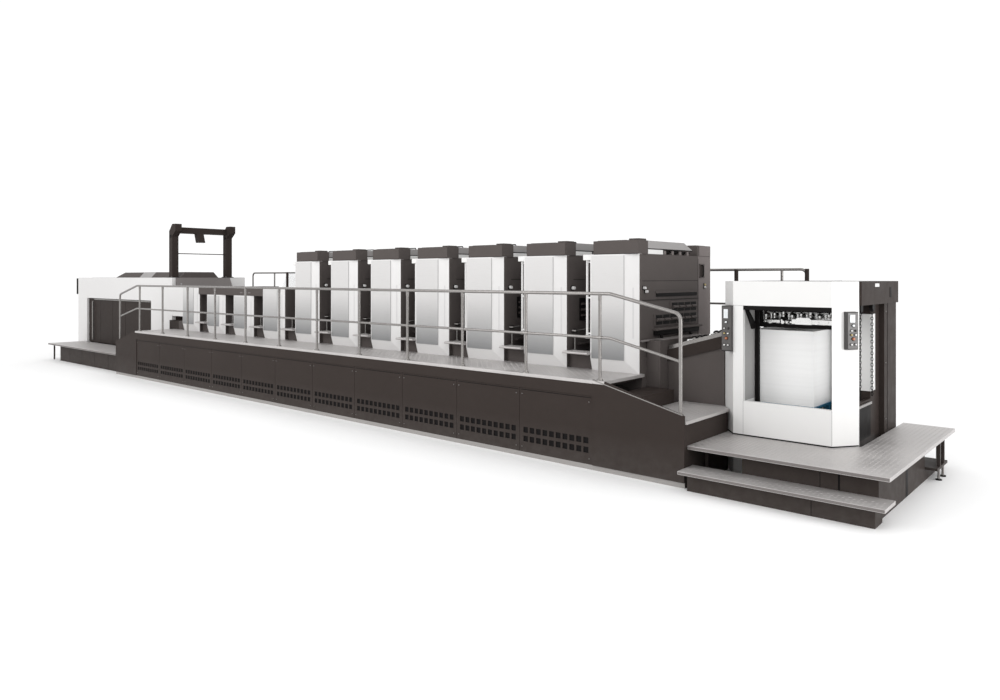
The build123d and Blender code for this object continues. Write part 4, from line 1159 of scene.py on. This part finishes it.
class PRESS_OT_sheet_pile(Operator):
    """Stack of sheets on the pile board"""
    bl_idname = "press.sheet_pile"
    bl_label = "Sheet pile"

    def execute(self, context):
        size, middle = PILE_HIGH - PILE_LOW, (PILE_LOW + PILE_HIGH) / 2
        layer = 0.008
        group, tree, sizes = new_growth("sheet_layers", {
            "Length": size.x, "Width": size.y, "Layer": layer, "Slip": 0.0006})
        play = tree.math("MULTIPLY", sizes["Slip"], 2.0)
        block = tree.out("GeometryNodeMeshCube", {"Size": tree.out("ShaderNodeCombineXYZ", {
            "X": tree.math("SUBTRACT", sizes["Length"], play), "Y": tree.math("SUBTRACT", sizes["Width"], play),
            "Z": sizes["Layer"]})})
        shift = tree.add("FunctionNodeRandomValue", {"Seed": 7}, data_type="FLOAT_VECTOR")
        shift.inputs[0].default_value = (-1.0, -1.0, 0.0)
        shift.inputs[1].default_value = (1.0, 1.0, 0.0)
        slip = tree.out("ShaderNodeVectorMath", {0: shift.outputs[0], "Scale": sizes["Slip"]}, operation="SCALE")
        moved = tree.out("GeometryNodeSetPosition", {"Geometry": sizes["Geometry"], "Offset": slip})
        end_growth(tree, tree.out("GeometryNodeInstanceOnPoints", {"Points": moved, "Instance": block}), "paper")
        count = round(size.z / layer)
        spots = [((middle.x, middle.y, PILE_LOW.z + (k + 0.5) * size.z / count), (0.0, 0.0, 1.0))
                 for k in range(count)]
        stack = grown("sheet_stack", spots, group, {"Layer": size.z / count}, PILE)
        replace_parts(stack, "paper_pile")
        return {"FINISHED"}


class PRESS_OT_platform_trim(Operator):
    """Skirt joints, edge strips and feet of the two platforms and the floor step"""
    bl_idname = "press.platform_trim"
    bl_label = "Platform trim"

    def execute(self, context):
        return fit("platform_trim", self.build)

    def build(self, trim):
        low, high = PLATES_LOW, PLATES_HIGH
        skirt, riser, side = low.y + 0.366, low.y + 0.115, high.x - 0.147
        under = PLATFORM_TOP - 0.040
        for x0, x1 in ((10.486, 10.491), (10.660, 10.679)):
            trim.box((x0, x1), about(skirt, 0.002), (0.232, under), "black")
        trim.box((10.483, 10.488), about(riser, 0.002), (0.004, 0.193), "black")
        trim.box(about(side, 0.002), (-0.520, -0.436), (0.004, under), "black")
        lip = (PLATFORM_TOP - 0.036, PLATFORM_TOP - 0.006)
        for x, y, z in (((9.114, high.x - 0.020), run(low.y + 0.234, 0.006), lip),
                        ((9.114, high.x - 0.004), about(low.y, 0.003), (0.198, 0.224)),
                        ((-10.64, -5.93), run(low.y + 0.233, 0.006), lip)):
            trim.box(x, y, z, "slope", 0.002)
        for x in (-9.40, -8.55, -7.70, -6.85):
            trim.box(run(x, 0.005), about(skirt, 0.002), (0.004, under), "black")
            trim.pin((x + 0.05, skirt + 0.06, 0.0), "z", 0.05, 0.03, "black")
        for y in (0.5015, 0.7195):
            leg = (high.x - 0.034, y, 0.0)
            trim.pin(leg, "z", 0.160, 0.014, "rail", 12)
            trim.pin(leg, "z", 0.012, 0.034, "black", 16)


class PRESS_OT_feed_table(Operator):
    """Tapes, wheels and side guides on the slanted feed board, and the infeed cabinet's doors"""
    bl_idname = "press.feed_table"
    bl_label = "Feed table"

    def execute(self, context):
        fit("feed_table_works", self.table)
        return fit("infeed_doors", self.doors)

    def table(self, works):
        """Tapes that run up the board, two shafts with wheels over them, and a guide on each side."""
        low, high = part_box("feed_board")
        foot = low.z + 0.150
        rise = (high.z - foot) / (high.x - low.x)
        tapes = [low.y + 0.22 + k * (high.y - low.y - 0.44) / 5 for k in range(6)]

        def top(x):
            return foot + (x - low.x) * rise

        def strip(x0, x1, y, half, thick, finish):
            """Bar that lies on the slanted board."""
            ends = [(x0, top(x0)), (x1, top(x1))]
            works.prism(ends + [(x, z + thick) for x, z in reversed(ends)], "y", y - half, y + half, finish)

        start = low.x + 0.02
        for y in tapes:
            strip(start, high.x - 0.02, y, 0.022, 0.005, "case")
        for x in (low.x + 0.28, low.x + 0.58):
            z = top(x) + 0.055
            works.rod((x, low.y + 0.03, z), (x, high.y - 0.03, z), 0.014, "bright")
            for y in tapes:
                works.pin((x, y - 0.012, z), "y", 0.024, 0.046, "black", 22)
                works.pin((x, y - 0.016, z), "y", 0.032, 0.026, "rail", 16)
        for y in (low.y + 0.012, high.y - 0.012):
            strip(start, low.x + 0.75, y, 0.008, 0.05, "rail")

    def doors(self, works):
        """Front door, lid and knobs of the infeed cabinet."""
        low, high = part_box("infeed_cabinet")
        works.box(inside(low.x, high.x, 0.02), run(low.y, -0.004), (1.10, 1.48), "graphite", 0.001)
        works.box(inside(low.x, high.x, 0.01), inside(low.y, high.y, 0.10), run(high.z, 0.012), "slope", 0.004)
        for y in (low.y + 0.30, high.y - 0.30):
            works.pin((low.x + 0.05, y, high.z + 0.012), "z", 0.048, 0.022, "black", 18, 0.019)


class PRESS_OT_delivery_fittings(Operator):
    """Door bars, hood bands, lamp and wall plates of the delivery, and light slots of the dryers"""
    bl_idname = "press.delivery_fittings"
    bl_label = "Delivery fittings"

    def execute(self, context):
        return fit("delivery_fittings", self.build)

    def build(self, works):
        low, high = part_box("delivery_header")
        works.box((low.x - 0.004, low.x + 0.100), (low.y - 0.005, low.y + 0.060), (1.832, 2.300), "black", 0.004)
        works.box((high.x, -4.400), run(UNIT_LOW.y, -0.006), (1.400, 2.090), "cover", 0.002)
        works.plates(high.x, [(0.004, (0.780, 1.185), (2.100, 2.316), "cover", 0.001)])
        self.door(works, DOOR_LOW.y, -10.04)
        self.hood(works, HOOD_LOW, HOOD_HIGH, -7.40, -6.70)
        lamp = Vector((HOOD_HIGH.x, -0.560, 2.143))
        works.pin(lamp, "x", 0.05, 0.055, "seam_light", 24)
        works.pin(lamp + AXES["x"] * 0.05, "x", 0.04, 0.050, "display", 24, 0.030)
        for x in (-1.68, -1.52, -1.36):
            works.box(run(x, 0.10), (BRIDGE_LOW.y - 0.003, BRIDGE_LOW.y + 0.002), (1.995, 2.018), "slope", 0.001)
        low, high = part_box("coater_guard")
        works.box((high.x - 0.030, high.x + 0.012), (low.y - 0.016, low.y + 0.020), (low.z, high.z), "charcoal", 0.004)

    def door(self, works, face, bar):
        """Upright and level bars and the leaf joints of the guard door."""
        works.tube([(bar, face, 0.55), (bar, face - 0.035, 0.55), (bar, face - 0.035, 1.64), (bar, face, 1.64)],
                   0.018, "rail", 0.03)
        works.box((bar + 0.10, DOOR_HIGH.x - 0.02), run(face, -0.030), (1.690, 1.722), "rail", 0.008)
        for k in range(1, 5):
            x = DOOR_LOW.x + k * (DOOR_HIGH.x - DOOR_LOW.x) / 5
            works.box(about(x, 0.003), about(face, 0.002), (DOOR_LOW.z + 0.01, 1.68), "black")

    def hood(self, works, low, high, left, right):
        """Light band over the slopes and the top of the hood, and its light end slope."""
        for y0, y1 in ((low.y, low.y + HOOD_LEAN), (high.y, high.y - HOOD_LEAN)):
            works.slab([(left, y0, low.z), (right, y0, low.z), (right, y1, high.z), (left, y1, high.z)], 0.004, "roof")
        top = inside(low.y, high.y, HOOD_LEAN)
        works.box((left, right), top, (high.z - 0.002, high.z + 0.004), "roof")
        end = low.x + 0.300
        works.slab([(low.x, low.y, low.z), (low.x, high.y, low.z), (end, top[1], high.z), (end, top[0], high.z)],
                   0.004, "roof")


class PRESS_OT_drive_side(Operator):
    """Handles, louvres and bolts of the panels under the drive side walkway"""
    bl_idname = "press.drive_side"
    bl_label = "Drive side"

    def execute(self, context):
        return fit("drive_panel_fittings", self.build, ("drive_panel_bolts", 0.011, 0.007))

    def build(self, works):
        face = DRIVE_HIGH.y
        bay = (DRIVE_HIGH.x - DRIVE_LOW.x + PANEL_GAP) / DRIVE_BAYS
        spots = []
        for index in range(DRIVE_BAYS):
            left = DRIVE_LOW.x + index * bay
            right = left + bay - PANEL_GAP
            middle = (left + right) / 2
            works.louvres(about(middle, 0.30), (0.22, 0.44), face, 0.010, 6, "charcoal")
            works.pull((middle - 0.07, face, 1.02), (middle + 0.07, face, 1.02), (0, 0.010, 0))
            spots += [((x, face, z), (0.0, 1.0, 0.0)) for x in inside(left, right, 0.05) for z in (0.09, 1.15)]
        works.box((DRIVE_LOW.x, DRIVE_HIGH.x), (DECKS_HIGH.y - 0.001, DECKS_HIGH.y + 0.004),
                  (DRIVE_DECK - 0.036, DRIVE_DECK - 0.002), "rail", 0.002)
        return spots


class PRESS_OT_unit_backs(Operator):
    """Doors, hinges, grips and louvres on the drive side of the units"""
    bl_idname = "press.unit_backs"
    bl_label = "Unit backs"

    def execute(self, context):
        return fit("unit_back_doors", self.build)

    def build(self, works):
        for index in range(LINE_UNITS):
            self.door(works, *inside(*tower_walls(index), 0.05), DRIVE_DECK + 0.08, unit_top(index) - 0.07)

    def door(self, works, left, right, low, high):
        """Door with hinges and a grip; the tall ones have louvres and a grey plate too."""
        out, grip = UNIT_BACK + 0.014, (low + high) / 2
        works.box((left, right), (UNIT_BACK - 0.002, out), (low, high), "graphite", 0.005)
        for z in (low + 0.10, high - 0.10):
            works.pin((left + 0.004, out, z - 0.045), "z", 0.09, 0.012, "black", 12)
        works.pull((right - 0.06, out, grip - 0.08), (right - 0.06, out, grip + 0.08), (0, 0.035, 0))
        if high - low > TALL_DOOR:
            works.louvres((left + 0.12, right - 0.16), (high - 0.34, high - 0.10), out, 0.012, 6, "graphite")
            works.box((left + 0.10, right - 0.14), (out - 0.001, out + 0.003), (low + 0.10, low + 0.36), "slope", 0.001)


class PRESS_OT_feeder_back(Operator):
    """Doors, grips and window frame on the drive side of the feeder, and its roof joints"""
    bl_idname = "press.feeder_back"
    bl_label = "Feeder back"

    def execute(self, context):
        return fit("feeder_back_fittings", self.build)

    def build(self, works):
        low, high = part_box("feeder_back_panels")
        window_low, window_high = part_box("feeder_window")
        face, middle, rim = high.y, (low.x + high.x) / 2, 0.03
        for x in ((low.x + rim, middle - 0.004), (middle + 0.004, high.x - rim)):
            works.box(x, (face - 0.002, face + 0.012), (0.10, window_low.z - 0.05), "graphite", 0.004)
        for x in about(middle, 0.07):
            works.pull((x, face + 0.012, 0.60), (x, face + 0.012, 0.78), (0, 0.035, 0))
        sides = inside(window_low.z, window_high.z, -rim)
        for x, z in (((low.x, high.x), run(window_low.z, -rim)), ((low.x, high.x), run(window_high.z, rim)),
                     (run(low.x, -rim), sides), (run(high.x, rim), sides)):
            works.box(x, (face - 0.002, face + 0.010), z, "black", 0.003)
        works.louvres(about(middle, 0.30), (1.95, 2.15), face, 0.012, 5, "graphite")
        low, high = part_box("feeder_roof")
        for x in (low.x + 0.45, low.x + 0.90):
            works.box(run(x, 0.004), inside(low.y, high.y, 0.02), about(high.z, 0.002), "black")


class PRESS_OT_delivery_back(Operator):
    """Panels, grips and louvres on the drive side, the end and the roof of the delivery"""
    bl_idname = "press.delivery_back"
    bl_label = "Delivery back"

    def execute(self, context):
        return fit("delivery_back_panels", self.build)

    def build(self, works):
        face, end, roof = DELIVERY_HIGH.y, DELIVERY_LOW.x, DELIVERY_HIGH.z
        proud, panel, grip = 0.014, (0.12, 1.66), (0.85, 1.05)
        left, right = end + 0.06, DECKS_LOW.x - 0.06
        count = 5
        step = (right - left) / count
        for k in range(count):
            x0, x1 = left + k * step, left + (k + 1) * step - 0.02
            works.box((x0, x1), (face - 0.002, face + proud), panel, "charcoal", 0.005)
            works.pull(*((x1 - 0.08, face + proud, z) for z in grip), (0, 0.035, 0))
            works.louvres((x0 + 0.14, x1 - 0.22), (0.24, 0.46), face + proud, 0.012, 6, "charcoal")
            for z in (0.30, 1.48):
                works.pin((x0 + 0.004, face + proud, z - 0.05), "z", 0.10, 0.012, "black", 12)
        for y0, y1 in ((-0.60, 0.18), (0.22, 1.10)):
            works.box((end - proud, end + 0.002), (y0, y1), panel, "charcoal", 0.005)
            works.pull(*((end - proud, y1 - 0.09, z) for z in grip), (-0.035, 0, 0))
        for x in (-10.4, -9.7, -9.0):
            works.box(run(x, 0.005), (-0.62, 1.15), about(roof, 0.002), "black")
        works.box((-10.25, -9.85), (0.10, 0.70), run(roof, 0.03), "graphite", 0.008)
        works.pull((-10.12, 0.40, roof + 0.03), (-9.98, 0.40, roof + 0.03), (0, 0, 0.035))


class PRESS_OT_gantry_fittings(Operator):
    """Foot plates, bolts, hinge pins and lamp glass of the gantry"""
    bl_idname = "press.gantry_fittings"
    bl_label = "Gantry fittings"

    def execute(self, context):
        return fit("gantry_fittings", self.build, ("gantry_bolts", 0.012, 0.009))

    def build(self, works):
        low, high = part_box("gantry_frame")
        foot = (low.x, low.x + GANTRY_SECTION)
        spots = []
        for y0 in (low.y, high.y - GANTRY_SECTION):
            y1 = y0 + GANTRY_SECTION
            works.box(inside(*foot, -0.03), inside(y0, y1, -0.03), run(low.z, 0.014), "black", 0.003)
            spots += [((x, y, low.z + 0.014), (0.0, 0.0, 1.0))
                      for x in inside(*foot, -0.012) for y in inside(y0, y1, -0.012)]
            for y, out in ((y0, -0.010), (y1, 0.010)):
                works.pin((low.x + 0.08, y, high.z - 0.30), "y", out, 0.035, "black", 20)
        low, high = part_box("gantry_lamp")
        works.box((low.x + 0.092, high.x - 0.012), inside(low.y, high.y, 0.015), (low.z - 0.004, low.z + 0.001),
                  "display")
        return spots


LIGHTS = (  # name, place, aim, size and power
    ("key_light", (16.0, -12.0, 11.0), (2.0, 0.0, 1.0), 9.0, 330.0),
    ("fill_light", (-2.0, -14.0, 7.0), (8.5, -0.7, 1.2), 8.0, 600.0),
    ("end_light", (20.0, 0.5, 2.0), (10.0, 0.1, 1.2), 3.0, 300.0),
)
PALE_FLOOR = (0.97, 0.97, 0.97)


class PRESS_OT_stage(Operator):
    """Set up the floor, the light and the camera"""
    bl_idname = "press.stage"
    bl_label = "Stage"

    def execute(self, context):
        scene = context.scene
        stage = scene.press_stage
        self.floor(scene, stage.floor_margin)
        world = bpy.data.worlds.new("studio_light")
        world.use_nodes = True
        tree = Tree(world.node_tree)
        sky = tree.out("ShaderNodeBackground", {"Color": (1.0, 1.0, 1.0, 1.0), "Strength": stage.sky})
        tree.add("ShaderNodeOutputWorld", {"Surface": sky})
        scene.world = world
        for light in LIGHTS:
            self.lamp(scene, *light)
        data = bpy.data.cameras.new("photo_camera")
        data.lens = stage.lens
        data.sensor_width = 36.0
        data.shift_y = stage.rise
        data.clip_end = 500.0
        camera = bpy.data.objects.new("photo_camera", data)
        camera.location = stage.camera_place
        camera.rotation_euler = (math.radians(90), 0.0, stage.camera_turn)
        scene.collection.objects.link(camera)
        scene.camera = camera
        scene.view_settings.view_transform = "Standard"
        return {"FINISHED"}

    def floor(self, scene, margin):
        """Pale floor that reaches past the press by a margin."""
        x, y = (inside(low, high, -margin) for low, high in zip(CAD_BOX[0][:2], CAD_BOX[1][:2]))
        mesh = bpy.data.meshes.new("studio_floor")
        mesh.from_pydata([(x[0], y[0], 0), (x[1], y[0], 0), (x[1], y[1], 0), (x[0], y[1], 0)], [], [(0, 1, 2, 3)])
        floor = bpy.data.objects.new("studio_floor", mesh)
        scene.collection.objects.link(floor)
        mesh.materials.append(paint("studio_floor_paint", PALE_FLOOR, rough=0.9, cloud=0.004, peel=0.0))

    def lamp(self, scene, name, place, aim, size, power):
        """Soft square light that faces a point."""
        data = bpy.data.lights.new(name, "AREA")
        data.size = size
        data.energy = power
        lamp = bpy.data.objects.new(name, data)
        lamp.location = place
        lamp.rotation_euler = (Vector(aim) - Vector(place)).to_track_quat("-Z", "Y").to_euler()
        scene.collection.objects.link(lamp)


STEPS = [
    PRESS_OT_finishes, PRESS_OT_cover_trim, PRESS_OT_tower_sides, PRESS_OT_roof_fittings,
    PRESS_OT_gallery_fittings, PRESS_OT_rail_fittings, PRESS_OT_tread_lugs, PRESS_OT_feeder_trim,
    PRESS_OT_controls, PRESS_OT_suction_head, PRESS_OT_hoist_chain, PRESS_OT_sheet_pile,
    PRESS_OT_platform_trim, PRESS_OT_feed_table, PRESS_OT_delivery_fittings, PRESS_OT_drive_side,
    PRESS_OT_unit_backs, PRESS_OT_feeder_back, PRESS_OT_delivery_back, PRESS_OT_gantry_fittings,
    PRESS_OT_stage,
]


class PRESS_PT_panel(Panel):
    """Steps that dress the press line"""
    bl_idname = "PRESS_PT_panel"
    bl_label = "Press Line"
    bl_space_type = "VIEW_3D"
    bl_region_type = "UI"
    bl_category = "Press Line"

    def draw(self, context):
        for step in STEPS:
            self.layout.operator(step.bl_idname)


CLASSES = [PressPaints, PressDetails, PressStage, *STEPS, PRESS_PT_panel]


def register():
    for item in CLASSES:
        bpy.utils.register_class(item)
    bpy.types.Scene.press_paints = PointerProperty(type=PressPaints)
    bpy.types.Scene.press_details = PointerProperty(type=PressDetails)
    bpy.types.Scene.press_stage = PointerProperty(type=PressStage)


def unregister():
    del bpy.types.Scene.press_stage
    del bpy.types.Scene.press_details
    del bpy.types.Scene.press_paints
    for item in reversed(CLASSES):
        bpy.utils.unregister_class(item)


def main():
    register()
    for step in STEPS:
        group, name = step.bl_idname.split(".")
        getattr(getattr(bpy.ops, group), name)()


if __name__ == "__main__":
    main()
